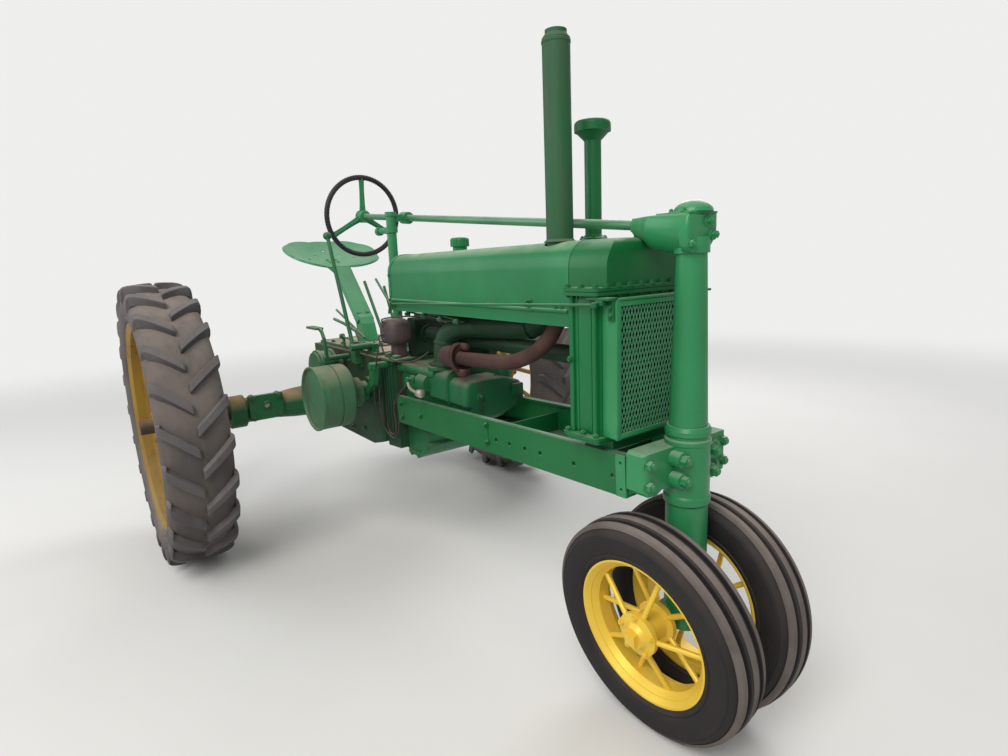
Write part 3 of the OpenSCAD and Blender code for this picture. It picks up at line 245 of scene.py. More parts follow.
class Effects:
    """Shared node groups for wear, dust with painted highlights, and cast skin."""

    @classmethod
    def group(cls, name: str, inputs: Iterable[tuple[str, float]], outputs: Iterable[str]) -> tuple:
        """Starts a shader group with named sockets.

        Args:
            name: Name of the group.
            inputs: Names and defaults of its number inputs.
            outputs: Names of its number outputs.

        Returns:
            The tree, its helper, its input node and its output node.
        """
        tree = bpy.data.node_groups.new(name, "ShaderNodeTree")
        for label, default in inputs:
            socket = tree.interface.new_socket(label, in_out="INPUT", socket_type="NodeSocketFloat")
            socket.default_value = default
        for label in outputs:
            kind = "NodeSocketVector" if label == "Normal" else "NodeSocketFloat"
            tree.interface.new_socket(label, in_out="OUTPUT", socket_type=kind)
        nodes = Nodes(tree)
        return tree, nodes, nodes.add("NodeGroupInput"), nodes.add("NodeGroupOutput")

    @classmethod
    @cache
    def wear(cls) -> Tree:
        """Builds the group of broad blotches, fine grain, chips and run marks.

        Returns:
            The group's tree.
        """
        tree, n, into, out = cls.group("Surface Wear", [("Scale", 3.0), ("Chips", 0.5)],
                                       ["Blotch", "Grain", "Chip", "Run"])
        where = n.add("ShaderNodeTexCoord")
        place, scale = where.outputs["Object"], into.outputs["Scale"]
        n.link(n.ramp(n.noise(place, scale, 5.0), 0.36, 0.66), out.inputs["Blotch"])
        n.link(n.noise(place, n.math("MULTIPLY", scale, 55.0), 3.0), out.inputs["Grain"])
        chip = n.noise(place, n.math("MULTIPLY", scale, 5.5), 9.0, 0.72)
        edge = n.math("SUBTRACT", 0.86, n.math("MULTIPLY", into.outputs["Chips"], 0.24))
        n.link(n.math("MULTIPLY", n.math("SUBTRACT", chip, edge), 24.0), out.inputs["Chip"])
        stretch = n.add("ShaderNodeMapping")
        stretch.inputs["Scale"].default_value = (9.0, 9.0, 0.9)
        n.link(place, stretch.inputs["Vector"])
        n.link(n.ramp(n.noise(stretch.outputs["Vector"], 3.4, 6.0), 0.5, 0.72), out.inputs["Run"])
        return tree

    @classmethod
    @cache
    def dust_and_highlight(cls) -> Tree:
        """Builds the group that finds faces that look up, where dust settles and where some finishes paint a
        highlight.

        Returns:
            The group's tree.
        """
        tree, n, into, out = cls.group("Dust And Highlight", [("Reach", 0.35), ("Speckle", 0.5)], ["Mask"])
        face = n.add("ShaderNodeNewGeometry")
        parts = n.add("ShaderNodeSeparateXYZ")
        n.link(face.outputs["Normal"], parts.inputs[0])
        up = n.math("DIVIDE", n.math("SUBTRACT", parts.outputs["Z"], into.outputs["Reach"]),
                    n.math("SUBTRACT", 1.0, into.outputs["Reach"]))
        where = n.add("ShaderNodeTexCoord")
        patch = n.ramp(n.noise(where.outputs["Object"], 9.0, 8.0, 0.62), 0.34, 0.62)
        keep = n.math("SUBTRACT", 1.0, into.outputs["Speckle"])
        share = n.math("ADD", keep, n.math("MULTIPLY", patch, into.outputs["Speckle"]))
        clamp = n.math("MINIMUM", n.math("MAXIMUM", up, 0.0), 1.0)
        n.link(n.math("MULTIPLY", clamp, share), out.inputs["Mask"])
        return tree

    @classmethod
    @cache
    def skin(cls) -> Tree:
        """Builds the group that roughens a surface, as a casting or moulded rubber is.

        Returns:
            The group's tree.
        """
        tree, n, into, out = cls.group("Cast Skin", [("Grain", 240.0), ("Depth", 0.2)], ["Normal"])
        where = n.add("ShaderNodeTexCoord")
        rough = n.noise(where.outputs["Object"], into.outputs["Grain"], 4.0)
        dents = n.noise(where.outputs["Object"], 14.0, 2.0)
        height = n.math("ADD", rough, n.math("MULTIPLY", dents, 2.4))
        bump = n.add("ShaderNodeBump")
        bump.inputs["Distance"].default_value = 0.0012
        n.link(height, bump.inputs["Height"])
        n.link(into.outputs["Depth"], bump.inputs["Strength"])
        n.link(bump.outputs["Normal"], out.inputs["Normal"])
        return tree


@dataclass(frozen=True)
class Finish:
    """One surface finish: its paint, its wear, and the dust on its upper faces, which on some finishes is partly a
    painted highlight.
    """

    name: str
    base: Colour
    shade: Colour
    slot: Slot
    roughness: float = 0.36
    metallic: float = 0.0
    coat: float = 0.0
    coat_roughness: float = 0.18
    gloss: float = 0.28
    blotch: float = 0.5
    scale: float = 3.0
    dust_and_highlight: Colour = (0.46, 0.42, 0.33)
    dust_and_highlight_amount: float = 0.35
    dust_and_highlight_reach: float = 0.45
    chip: Colour = (0.12, 0.06, 0.035)
    chip_amount: float = 0.25
    run: Colour = (0.09, 0.075, 0.055)
    run_amount: float = 0.0
    grain: float = 240.0
    depth: float = 0.12

    def material(self) -> bpy.types.Material:
        """Makes the finish's material, or takes the one of its name that exists, also the frame's own.

        Returns:
            The material.
        """
        known = bpy.data.materials.get(self.name)
        if known is not None:
            return known
        made = bpy.data.materials.new(self.name)
        made.use_nodes = True
        made.node_tree.nodes.clear()
        n = Nodes(made.node_tree)
        out = n.add("ShaderNodeOutputMaterial")
        shader = n.add("ShaderNodeBsdfPrincipled")
        n.link(shader.outputs[0], out.inputs["Surface"])
        wear = n.add("ShaderNodeGroup", node_tree=Effects.wear())
        wear.inputs["Scale"].default_value = self.scale
        wear.inputs["Chips"].default_value = self.chip_amount
        dust_and_highlight = n.add("ShaderNodeGroup", node_tree=Effects.dust_and_highlight())
        dust_and_highlight.inputs["Reach"].default_value = self.dust_and_highlight_reach
        skin = n.add("ShaderNodeGroup", node_tree=Effects.skin())
        skin.inputs["Grain"].default_value = self.grain
        skin.inputs["Depth"].default_value = self.depth
        tint = n.mix(n.math("MULTIPLY", wear.outputs["Blotch"], self.blotch), self.base, self.shade)
        tint = n.mix(n.math("MULTIPLY", n.math("SUBTRACT", wear.outputs["Grain"], 0.45), 0.5), tint, self.shade)
        if self.run_amount:
            tint = n.mix(n.math("MULTIPLY", wear.outputs["Run"], self.run_amount), tint, self.run)
        bare = n.math("MINIMUM", n.math("MAXIMUM", wear.outputs["Chip"], 0.0), 1.0)
        tint = n.mix(bare, tint, self.chip)
        # Upper faces take the dust colour; on the sheet and sunlit shaft finishes it is partly a painted highlight.
        dust_and_highlight_mask = n.math("MULTIPLY", dust_and_highlight.outputs["Mask"], self.dust_and_highlight_amount)
        tint = n.mix(dust_and_highlight_mask, tint, self.dust_and_highlight)
        n.link(tint, shader.inputs["Base Color"])
        dull = n.math("ADD", self.roughness, n.math("MULTIPLY", wear.outputs["Blotch"], 0.14))
        dull = n.math("ADD", dull, n.math("MULTIPLY", bare, 0.3))
        n.link(n.math("MINIMUM", n.math("ADD", dull, n.math("MULTIPLY", dust_and_highlight_mask, 0.5)), 0.95),
               shader.inputs["Roughness"])
        n.link(skin.outputs["Normal"], shader.inputs["Normal"])
        shader.inputs["Metallic"].default_value = self.metallic
        shader.inputs["Coat Weight"].default_value = self.coat
        shader.inputs["Coat Roughness"].default_value = self.coat_roughness
        shader.inputs["Specular IOR Level"].default_value = self.gloss
        made.diffuse_color = (*self.base, 1.0)
        return made


# Sheet green: its pale green upper-face colour is dust mixed with a painted highlight, as along the rails' top edge.
SHEET = Finish("green_sheet", (0.006, 0.128, 0.034), (0.004, 0.09, 0.024), Slot.GREEN, 0.36, coat=0.06,
               dust_and_highlight=(0.34, 0.47, 0.36), dust_and_highlight_amount=0.55, dust_and_highlight_reach=0.6, depth=0.05, chip_amount=0.12)
HOOD = Finish("green_hood", (0.014, 0.175, 0.06), (0.008, 0.11, 0.035), Slot.GREEN, 0.38, coat=0.08,
              dust_and_highlight=(0.42, 0.52, 0.38), dust_and_highlight_amount=0.8, dust_and_highlight_reach=0.6, depth=0.05, chip_amount=0.14)
RADIATOR = Finish("green_radiator", (0.005, 0.14, 0.038), (0.003, 0.1, 0.027), Slot.GREEN, 0.38, coat=0.06,
                  dust_and_highlight=(0.34, 0.42, 0.32), dust_and_highlight_amount=0.45, depth=0.05, chip_amount=0.12)
CAST = Finish("green_casting", (0.014, 0.135, 0.045), (0.009, 0.072, 0.026), Slot.GREEN, 0.44, coat=0.06,
              dust_and_highlight_amount=0.6, dust_and_highlight_reach=0.45, chip_amount=0.3, run_amount=0.25, depth=0.5, grain=150.0)
COLUMN = Finish("green_column", (0.028, 0.235, 0.085), (0.015, 0.155, 0.052), Slot.GREEN, 0.32, coat=0.2,
                dust_and_highlight=(0.4, 0.46, 0.36), dust_and_highlight_amount=0.5, depth=0.12, chip_amount=0.2, run_amount=0.14,
                run=(0.05, 0.09, 0.05))
ENGINE = Finish("green_engine", (0.009, 0.125, 0.042), (0.006, 0.07, 0.026), Slot.GREEN, 0.48, coat=0.04,
                dust_and_highlight=(0.25, 0.2, 0.16), dust_and_highlight_amount=0.75, dust_and_highlight_reach=0.4, chip_amount=0.5, run=(0.03, 0.026, 0.018),
                run_amount=0.6, depth=0.5, grain=150.0)
# Painted shade: the very dark green stands for the shadow under the hood on these pipes and fittings; its runs and
# dust are dirt.
UNDER_HOOD_SHADE = Finish("shaded_under_hood_green", (0.012, 0.055, 0.022), (0.008, 0.03, 0.014), Slot.GREEN, 0.5, blotch=0.8,
              dust_and_highlight=(0.07, 0.1, 0.055), dust_and_highlight_amount=0.5, dust_and_highlight_reach=0.3, chip_amount=0.4, run_amount=0.5,
              run=(0.03, 0.03, 0.02), depth=0.4)
GRIME = Finish("grimy_case", (0.01, 0.07, 0.026), (0.012, 0.034, 0.017), Slot.GREEN, 0.55, blotch=0.8,
               dust_and_highlight=(0.3, 0.21, 0.14), dust_and_highlight_amount=0.8, dust_and_highlight_reach=0.3, chip_amount=0.55, run_amount=0.7,
               run=(0.06, 0.042, 0.028), depth=0.6, grain=150.0)
AXLE = Finish("dusty_axle", (0.014, 0.115, 0.042), (0.01, 0.06, 0.025), Slot.DUSTY, 0.48, dust_and_highlight=(0.5, 0.31, 0.185),
              dust_and_highlight_amount=1.0, dust_and_highlight_reach=0.2, chip_amount=0.35, depth=0.5, grain=150.0)
OLD_AXLE = Finish("brown_shaft", (0.075, 0.052, 0.038), (0.045, 0.033, 0.026), Slot.DUSTY, 0.55,
                  dust_and_highlight=(0.3, 0.2, 0.13), dust_and_highlight_amount=0.8, dust_and_highlight_reach=0.1, chip_amount=0.5, depth=0.4, grain=150.0)
DUSTY = Finish("dusty_cover", (0.035, 0.13, 0.06), (0.02, 0.065, 0.034), Slot.DUSTY, 0.6, dust_and_highlight=(0.48, 0.38, 0.29),
               dust_and_highlight_amount=0.95, dust_and_highlight_reach=0.3, chip_amount=0.45, depth=0.45, grain=150.0)
SEAT = Finish("green_seat", (0.05, 0.28, 0.115), (0.022, 0.16, 0.062), Slot.GREEN, 0.34, coat=0.18,
              dust_and_highlight=(0.42, 0.48, 0.4), dust_and_highlight_amount=0.34, dust_and_highlight_reach=0.4, depth=0.06, chip_amount=0.1)
STACK = Finish("green_stack", (0.014, 0.1, 0.034), (0.04, 0.07, 0.042), Slot.GREEN, 0.55, blotch=0.9,
               scale=2.0, run=(0.07, 0.075, 0.055), run_amount=0.6, chip_amount=0.4, depth=0.1)
YELLOW = Finish("wheel_yellow", (0.49, 0.235, 0.03), (0.33, 0.15, 0.024), Slot.YELLOW, 0.42, coat=0.12,
                dust_and_highlight=(0.42, 0.29, 0.16), dust_and_highlight_amount=0.5, dust_and_highlight_reach=0.2, chip_amount=0.5, run_amount=0.4,
                run=(0.2, 0.1, 0.03), depth=0.15)
# Painted shade: the rear wheels' darker yellow stands for the shadow they sit in; its runs and dust are dirt.
SHADED_REAR_YELLOW = Finish("shaded_rear_wheel_yellow", (0.3, 0.18, 0.024), (0.2, 0.11, 0.018), Slot.YELLOW, 0.5,
               dust_and_highlight=(0.3, 0.21, 0.12), dust_and_highlight_amount=0.5, dust_and_highlight_reach=0.2, chip_amount=0.5, run_amount=0.5,
               run=(0.13, 0.075, 0.025), depth=0.15)
RUBBER = Finish("rear_rubber", (0.075, 0.066, 0.062), (0.13, 0.11, 0.1), Slot.RUBBER, 0.78, blotch=0.8,
                scale=4.0, dust_and_highlight=(0.3, 0.25, 0.22), dust_and_highlight_amount=0.7, dust_and_highlight_reach=0.0, chip=(0.26, 0.2, 0.16),
                chip_amount=0.42, run_amount=0.35, run=(0.15, 0.115, 0.09), depth=0.35, grain=320.0)
LUG = Finish("lug_rubber", (0.07, 0.065, 0.066), (0.11, 0.1, 0.1), Slot.RUBBER, 0.66, blotch=0.8,
             scale=5.0, dust_and_highlight=(0.26, 0.23, 0.22), dust_and_highlight_amount=0.6, dust_and_highlight_reach=0.0, chip=(0.24, 0.19, 0.16),
             chip_amount=0.36, depth=0.3, grain=320.0)
TREAD = Finish("rib_rubber", (0.13, 0.108, 0.096), (0.075, 0.062, 0.056), Slot.RUBBER, 0.75, blotch=0.8,
               scale=8.0, dust_and_highlight=(0.3, 0.25, 0.22), dust_and_highlight_amount=0.6, dust_and_highlight_reach=0.1, chip=(0.5, 0.44, 0.38),
               chip_amount=0.45, depth=0.35, grain=320.0)
FRONT_RUBBER = Finish("front_rubber", (0.015, 0.0135, 0.0145), (0.028, 0.024, 0.024), Slot.RUBBER, 0.7, blotch=0.6,
                      scale=9.0, dust_and_highlight=(0.1, 0.08, 0.07), dust_and_highlight_amount=0.6, dust_and_highlight_reach=0.1,
                      chip=(0.5, 0.42, 0.36), chip_amount=0.42, depth=0.35, grain=320.0)
RUST = Finish("rusty_manifold", (0.075, 0.034, 0.028), (0.042, 0.022, 0.019), Slot.RUST, 0.66, blotch=0.9,
              scale=8.0, dust_and_highlight=(0.16, 0.1, 0.085), dust_and_highlight_amount=0.6, chip=(0.15, 0.065, 0.04), chip_amount=0.8,
              depth=0.7, grain=260.0)
MAGNETO = Finish("magneto_body", (0.085, 0.062, 0.06), (0.05, 0.036, 0.034), Slot.MAGNETO, 0.5, blotch=0.7,
                 scale=7.0, dust_and_highlight=(0.3, 0.24, 0.2), dust_and_highlight_amount=0.5, chip_amount=0.5, depth=0.3)
GRIP = Finish("grip_rubber", (0.018, 0.017, 0.02), (0.034, 0.03, 0.033), Slot.GRIP, 0.45, coat=0.1,
              dust_and_highlight=(0.14, 0.12, 0.12), dust_and_highlight_amount=0.4, chip_amount=0.1, depth=0.2)
# Painted highlight: the pale green of the screen wire lights strands that lie in shade.
MESH = Finish("screen_wire", (0.1, 0.31, 0.165), (0.055, 0.22, 0.105), Slot.GREEN, 0.36, coat=0.1,
              dust_and_highlight=(0.4, 0.46, 0.36), dust_and_highlight_amount=0.4, depth=0.1, chip_amount=0.2)
PULLEY = Finish("worn_pulley", (0.045, 0.165, 0.078), (0.045, 0.095, 0.05), Slot.GREEN, 0.45, blotch=0.7,
                dust_and_highlight=(0.34, 0.26, 0.18), dust_and_highlight_amount=0.6, dust_and_highlight_reach=0.4, chip_amount=0.45, run_amount=0.5,
                run=(0.08, 0.06, 0.035), depth=0.4, grain=150.0)
CORE = Finish("core_tubes", (0.012, 0.016, 0.013), (0.03, 0.028, 0.022), Slot.CORE, 0.8, scale=20.0,
              dust_and_highlight=(0.1, 0.08, 0.06), chip_amount=0.5, depth=0.6)
FAN = Finish("fan_iron", (0.06, 0.042, 0.034), (0.03, 0.022, 0.018), Slot.RUST, 0.6, blotch=0.8, scale=7.0,
             chip_amount=0.5, depth=0.3)
WIRE = Finish("wire_cover", (0.035, 0.026, 0.024), (0.06, 0.044, 0.038), Slot.GRIP, 0.55, scale=14.0,
              chip_amount=0.2, depth=0.2)
BARE = Finish("bare_fitting", (0.42, 0.38, 0.33), (0.26, 0.2, 0.16), Slot.DUSTY, 0.42, metallic=0.6, scale=14.0,
              chip_amount=0.6, depth=0.3)
# Painted sunlight: the shaft's bright green and its pale upper faces stand for sun falling on it.
SUNLIT_SHAFT = Finish("sunlit_shaft", (0.06, 0.22, 0.1), (0.03, 0.13, 0.055), Slot.GREEN, 0.3, coat=0.3,
               dust_and_highlight=(0.42, 0.45, 0.42), dust_and_highlight_amount=0.9, dust_and_highlight_reach=0.5, depth=0.06)
FLOOR = Finish("studio_floor", (0.72, 0.71, 0.69), (0.69, 0.68, 0.66), Slot.DUSTY, 0.85, blotch=0.4, scale=1.2,
               dust_and_highlight_amount=0.0, chip_amount=-0.4, depth=0.05)


class Shape:
    """Mesh of one piece, drawn in millimetres from the rear axle."""

    def __init__(self) -> None:
        """Starts an empty mesh."""
        self.bm = bmesh.new()

    def skin(self, rings: Sequence[Sequence[Vector]], loop: bool = False, caps: bool = True) -> None:
        """Joins rings of points with faces.

        Args:
            rings: Rings with the same number of points.
            loop: Whether the last ring joins the first.
            caps: Whether the end rings are closed.
        """
        rows = [[self.bm.verts.new(p) for p in ring] for ring in rings]
        count = len(rows[0])
        pairs = list(zip(rows, rows[1:])) + ([(rows[-1], rows[0])] if loop else [])
        for a, b in pairs:
            for i in range(count):
                k = (i + 1) % count
                self.bm.faces.new((a[i], a[k], b[k], b[i]))
        if caps and not loop:
            self.bm.faces.new(rows[0])
            self.bm.faces.new(rows[-1])

    def tube(self, points: Sequence[Point], radius: float, sides: int = 12, loop: bool = False) -> None:
        """Runs a round tube along a line.

        Args:
            points: Points of the line.
            radius: Radius of the tube.
            sides: Faces round the tube.
            loop: Whether the line closes on itself.
        """
        line = [Vector(p) for p in points]
        count = len(line)
        rings = []
        side = None
        for i, p in enumerate(line):
            before = line[i - 1] if loop or i else line[0]
            after = line[(i + 1) % count] if loop or i < count - 1 else line[-1]
            ahead = (after - before).normalized()
            if side is None:
                side = ahead.orthogonal().normalized()
            side = (side - ahead * side.dot(ahead)).normalized()
            up = ahead.cross(side)
            rings.append([p + radius * (side * math.cos(math.tau * k / sides)
                                        + up * math.sin(math.tau * k / sides)) for k in range(sides)])
        self.skin(rings, loop)

    def turned(self, centre: Point, axis: Point, outline: Sequence[Pair], steps: int = 40,
               closed: bool = False) -> None:
        """Turns an outline round an axis.

        Args:
            centre: Start of the axis.
            axis: Direction of the axis.
            outline: Pairs of radius and distance along the axis.
            steps: Faces round the axis.
            closed: Whether the outline's end joins its start.
        """
        ahead = Vector(axis).normalized()
        side = ahead.orthogonal().normalized()
        up = ahead.cross(side)
        rings = [[Vector(centre) + ahead * h + max(r, 0.02) * (side * math.cos(math.tau * k / steps)
                  + up * math.sin(math.tau * k / steps)) for k in range(steps)] for r, h in outline]
        self.skin(rings, closed)

    def slab(self, low: Point, high: Point, bevel: float = 1.5) -> None:
        """Adds a block with softened edges.

        Args:
            low: Lowest corner.
            high: Highest corner.
            bevel: Width of the softened edges.
        """
        made = bmesh.ops.create_cube(self.bm, size=1.0)
        a, b = Vector(low), Vector(high)
        for v in made["verts"]:
            v.co = Vector(((v.co.x + 0.5) * (b.x - a.x) + a.x, (v.co.y + 0.5) * (b.y - a.y) + a.y,
                           (v.co.z + 0.5) * (b.z - a.z) + a.z))
        edges = list(dict.fromkeys(e for v in made["verts"] for e in v.link_edges))
        if bevel:
            bmesh.ops.bevel(self.bm, geom=edges, offset=bevel, segments=2, profile=0.6, affect="EDGES")

    def plate(self, outline: Sequence[Pair], low: float, high: float, bevel: float = 1.0) -> None:
        """Adds a plate that stands along the tractor, drawn by x and z.

        Args:
            outline: Corners as pairs of x and z.
            low: Lower y of the plate.
            high: Upper y of the plate.
            bevel: Width of the softened edges.
        """
        a = [self.bm.verts.new((x, low, z)) for x, z in outline]
        b = [self.bm.verts.new((x, high, z)) for x, z in outline]
        faces = [self.bm.faces.new(a), self.bm.faces.new(b[::-1])]
        count = len(outline)
        for i in range(count):
            k = (i + 1) % count
            faces.append(self.bm.faces.new((a[i], b[i], b[k], a[k])))
        bmesh.ops.recalc_face_normals(self.bm, faces=faces)
        if bevel:
            edges = list(dict.fromkeys(e for f in faces for e in f.edges))
            bmesh.ops.bevel(self.bm, geom=edges, offset=bevel, segments=1, affect="EDGES")

    def pierced(self, outline: Sequence[Pair], holes: Sequence[tuple[float, float, float]],
                low: float, high: float) -> None:
        """Adds a plate with round holes that stands along the tractor, drawn by x and z.

        Args:
            outline: Corners as pairs of x and z.
            holes: Rows of x, z and radius.
            low: Lower y of the plate.
            high: Upper y of the plate.
        """
        curve = bpy.data.curves.new("pierced", "CURVE")
        curve.dimensions = "2D"
        curve.fill_mode = "BOTH"
        curve.extrude = (high - low) / 2
        rounds = [[(x + r * math.cos(math.pi * k / 12), z + r * math.sin(math.pi * k / 12)) for k in range(24)]
                  for x, z, r in holes]
        for line in [list(outline)] + rounds:
            spline = curve.splines.new("POLY")
            spline.points.add(len(line) - 1)
            for point, (x, z) in zip(spline.points, line):
                point.co = (x, z, 0.0, 1.0)
            spline.use_cyclic_u = True
        holder = put("pierced", curve)
        graph = bpy.context.evaluated_depsgraph_get()
        mesh = bpy.data.meshes.new_from_object(holder.evaluated_get(graph), depsgraph=graph)
        bpy.data.objects.remove(holder)
        mesh.transform(Matrix(((1, 0, 0, 0), (0, 0, 1, (low + high) / 2), (0, 1, 0, 0), (0, 0, 0, 1))))
        self.bm.from_mesh(mesh)

    def lofted(self, rows: Sequence[tuple[float, Sequence[Pair]]]) -> None:
        """Joins cross-sections that stand across the tractor, drawn by y and z.

        Args:
            rows: Pairs of x and the section's corners.
        """
        self.skin([[Vector((x, y, z)) for y, z in line] for x, line in rows])

    def join(self, other: "Shape") -> None:
        """Takes in what another shape has drawn.

        Args:
            other: The other shape.
        """
        part = bpy.data.meshes.new("part")
        other.bm.to_mesh(part)
        self.bm.from_mesh(part)
        bpy.data.meshes.remove(part)

    def moved(self, matrix: Matrix) -> None:
        """Moves all that is drawn so far.

        Args:
            matrix: Move in millimetres from the rear axle.
        """
        bmesh.ops.transform(self.bm, matrix=matrix, verts=self.bm.verts)

    def piece(self, name: str, finish: Finish, body: str = "chassis", replaces: Sequence[str] = (),
              sharp: float = 32.0) -> None:
        """Ends the mesh and puts it on its body.

        Args:
            name: Name of the piece.
            finish: Finish of the piece.
            body: Body that carries it.
            replaces: Nodes of the frame that it stands for.
            sharp: Angle, in degrees, from which an edge stays sharp.
        """
        bmesh.ops.remove_doubles(self.bm, verts=self.bm.verts, dist=0.01)
        for v in self.bm.verts:
            v.co = at(*v.co)
        bmesh.ops.recalc_face_normals(self.bm, faces=self.bm.faces)
        mesh = bpy.data.meshes.new(name)
        self.bm.to_mesh(mesh)
        self.bm.free()
        settle(name, mesh, finish, body, replaces, sharp)


def settle(name: str, mesh: bpy.types.Mesh, finish: Finish, body: str, replaces: Sequence[str] = (),
           sharp: float = 32.0) -> None:
    """Makes an object of a mesh, with its finish, on its body.

    Args:
        name: Name of the piece.
        mesh: Mesh in the row frame.
        finish: Finish of the piece.
        body: Body that carries it.
        replaces: Nodes of the frame that it stands for.
        sharp: Angle, in degrees, from which an edge stays sharp.
    """
    for face in mesh.polygons:
        face.use_smooth = True
    mesh.set_sharp_from_angle(angle=math.radians(sharp))
    mesh.materials.clear()
    mesh.materials.append(finish.material())
    made = put(name, mesh)
    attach(made, body)
    if replaces:
        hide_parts(*replaces)
    LOG.info("%s: %d faces on %s", name, len(mesh.polygons), body)


class Repeats:
    """Geometry node trees for what a piece has many of."""

    @staticmethod
    def start(name: str, inputs: Iterable[tuple[str, str, object]]) -> tuple:
        """Starts a tree with its geometry sockets and named inputs.

        Args:
            name: Name of the tree.
            inputs: Names, socket types and defaults of the inputs.

        Returns:
            The tree, its helper, its input node and its output node.
        """
        tree = bpy.data.node_groups.new(name, "GeometryNodeTree")
        tree.interface.new_socket("Geometry", in_out="INPUT", socket_type="NodeSocketGeometry")
        tree.interface.new_socket("Geometry", in_out="OUTPUT", socket_type="NodeSocketGeometry")
        for label, kind, default in inputs:
            socket = tree.interface.new_socket(label, in_out="INPUT", socket_type=kind)
            if default is not None:
                socket.default_value = default
        nodes = Nodes(tree)
        return tree, nodes, nodes.add("NodeGroupInput"), nodes.add("NodeGroupOutput")

    @staticmethod
    def end(n: Nodes, into: bpy.types.Node, out: bpy.types.Node, instances: Socket) -> None:
        """Ends a tree with real geometry and its material.

        Args:
            n: Helper of the tree.
            into: Input node of the tree.
            out: Output node of the tree.
            instances: Socket of the instances.
        """
        real = n.add("GeometryNodeRealizeInstances")
        paint = n.add("GeometryNodeSetMaterial")
        n.link(instances, real.inputs["Geometry"])
        n.link(real.outputs[0], paint.inputs["Geometry"])
        n.link(into.outputs["Material"], paint.inputs["Material"])
        n.link(paint.outputs[0], out.inputs[0])

    @classmethod
    @cache
    def bolts(cls) -> Tree:
        """Builds the tree that sets a hexagon nut, washer and stud end on each point.

        Returns:
            The tree.
        """
        tree, n, into, out = cls.start("Nuts On Points", [
            ("Head Height", "NodeSocketFloat", 0.85), ("Washer", "NodeSocketFloat", 1.35),
            ("Stud", "NodeSocketFloat", 0.45), ("Seed", "NodeSocketInt", 7),
            ("Material", "NodeSocketMaterial", None)])
        join = n.add("GeometryNodeJoinGeometry")

        def disc(sides: int, radius: object, depth: object, base: object) -> None:
            """Adds a disc that stands on the seat.

            Args:
                sides: Number of its sides.
                radius: Its radius, or its socket.
                depth: Its thickness, or its socket.
                base: Height of its underside, or its socket.
            """
            made = n.add("GeometryNodeMeshCylinder")
            for label, value in (("Vertices", sides), ("Radius", radius), ("Depth", depth)):
                n.feed(value, made.inputs[label])
            move = n.add("GeometryNodeTransform")
            where = n.add("ShaderNodeCombineXYZ")
            n.link(n.math("ADD", base, n.math("MULTIPLY", depth, 0.5)), where.inputs["Z"])
            n.link(where.outputs[0], move.inputs["Translation"])
            n.link(made.outputs["Mesh"], move.inputs["Geometry"])
            n.link(move.outputs[0], join.inputs[0])

        high = into.outputs["Head Height"]
        disc(20, into.outputs["Washer"], 0.14, 0.0)
        disc(6, 1.0, high, 0.12)
        disc(18, 0.84, 0.1, n.math("ADD", high, 0.1))
        disc(12, into.outputs["Stud"], 0.34, n.math("ADD", high, 0.16))
        place = n.add("GeometryNodeInstanceOnPoints")
        n.link(into.outputs["Geometry"], place.inputs["Points"])
        n.link(join.outputs[0], place.inputs["Instance"])
        axis = n.add("GeometryNodeInputNamedAttribute", data_type="FLOAT_VECTOR")
        axis.inputs["Name"].default_value = "axis"
        size = n.add("GeometryNodeInputNamedAttribute", data_type="FLOAT")
        size.inputs["Name"].default_value = "size"
        turn = n.add("FunctionNodeAlignRotationToVector", axis="Z")
        n.link(axis.outputs["Attribute"], turn.inputs["Vector"])
        random = n.add("FunctionNodeRandomValue", data_type="FLOAT")
        random.inputs[3].default_value = 1.0
        n.link(into.outputs["Seed"], random.inputs["Seed"])
        spin = n.add("ShaderNodeCombineXYZ")
        n.link(random.outputs[1], spin.inputs["Z"])
        euler = n.add("FunctionNodeEulerToRotation")
        n.link(spin.outputs[0], euler.inputs[0])
        both = n.add("FunctionNodeRotateRotation", rotation_space="LOCAL")
        n.link(turn.outputs[0], both.inputs[0])
        n.link(euler.outputs[0], both.inputs[1])
        n.link(both.outputs[0], place.inputs["Rotation"])
        n.link(size.outputs["Attribute"], place.inputs["Scale"])
        cls.end(n, into, out, place.outputs[0])
        return tree

    @classmethod
    @cache
    def ring(cls) -> Tree:
        """Builds the tree that repeats a mesh round the axle's line.

        Returns:
            The tree.
        """
        tree, n, into, out = cls.start("Copies Round Axle", [
            ("Count", "NodeSocketInt", 12), ("Step", "NodeSocketFloat", 0.5),
            ("Material", "NodeSocketMaterial", None)])
        line = n.add("GeometryNodeMeshLine")
        line.inputs["Offset"].default_value = (0.0, 0.0, 0.0)
        n.link(into.outputs["Count"], line.inputs["Count"])
        place = n.add("GeometryNodeInstanceOnPoints")
        n.link(line.outputs[0], place.inputs["Points"])
        n.link(into.outputs["Geometry"], place.inputs["Instance"])
        index = n.add("GeometryNodeInputIndex")
        turn = n.add("ShaderNodeCombineXYZ")
        n.link(n.math("MULTIPLY", index.outputs[0], into.outputs["Step"]), turn.inputs["Y"])
        euler = n.add("FunctionNodeEulerToRotation")
        n.link(turn.outputs[0], euler.inputs[0])
        n.link(euler.outputs[0], place.inputs["Rotation"])
        cls.end(n, into, out, place.outputs[0])
        return tree

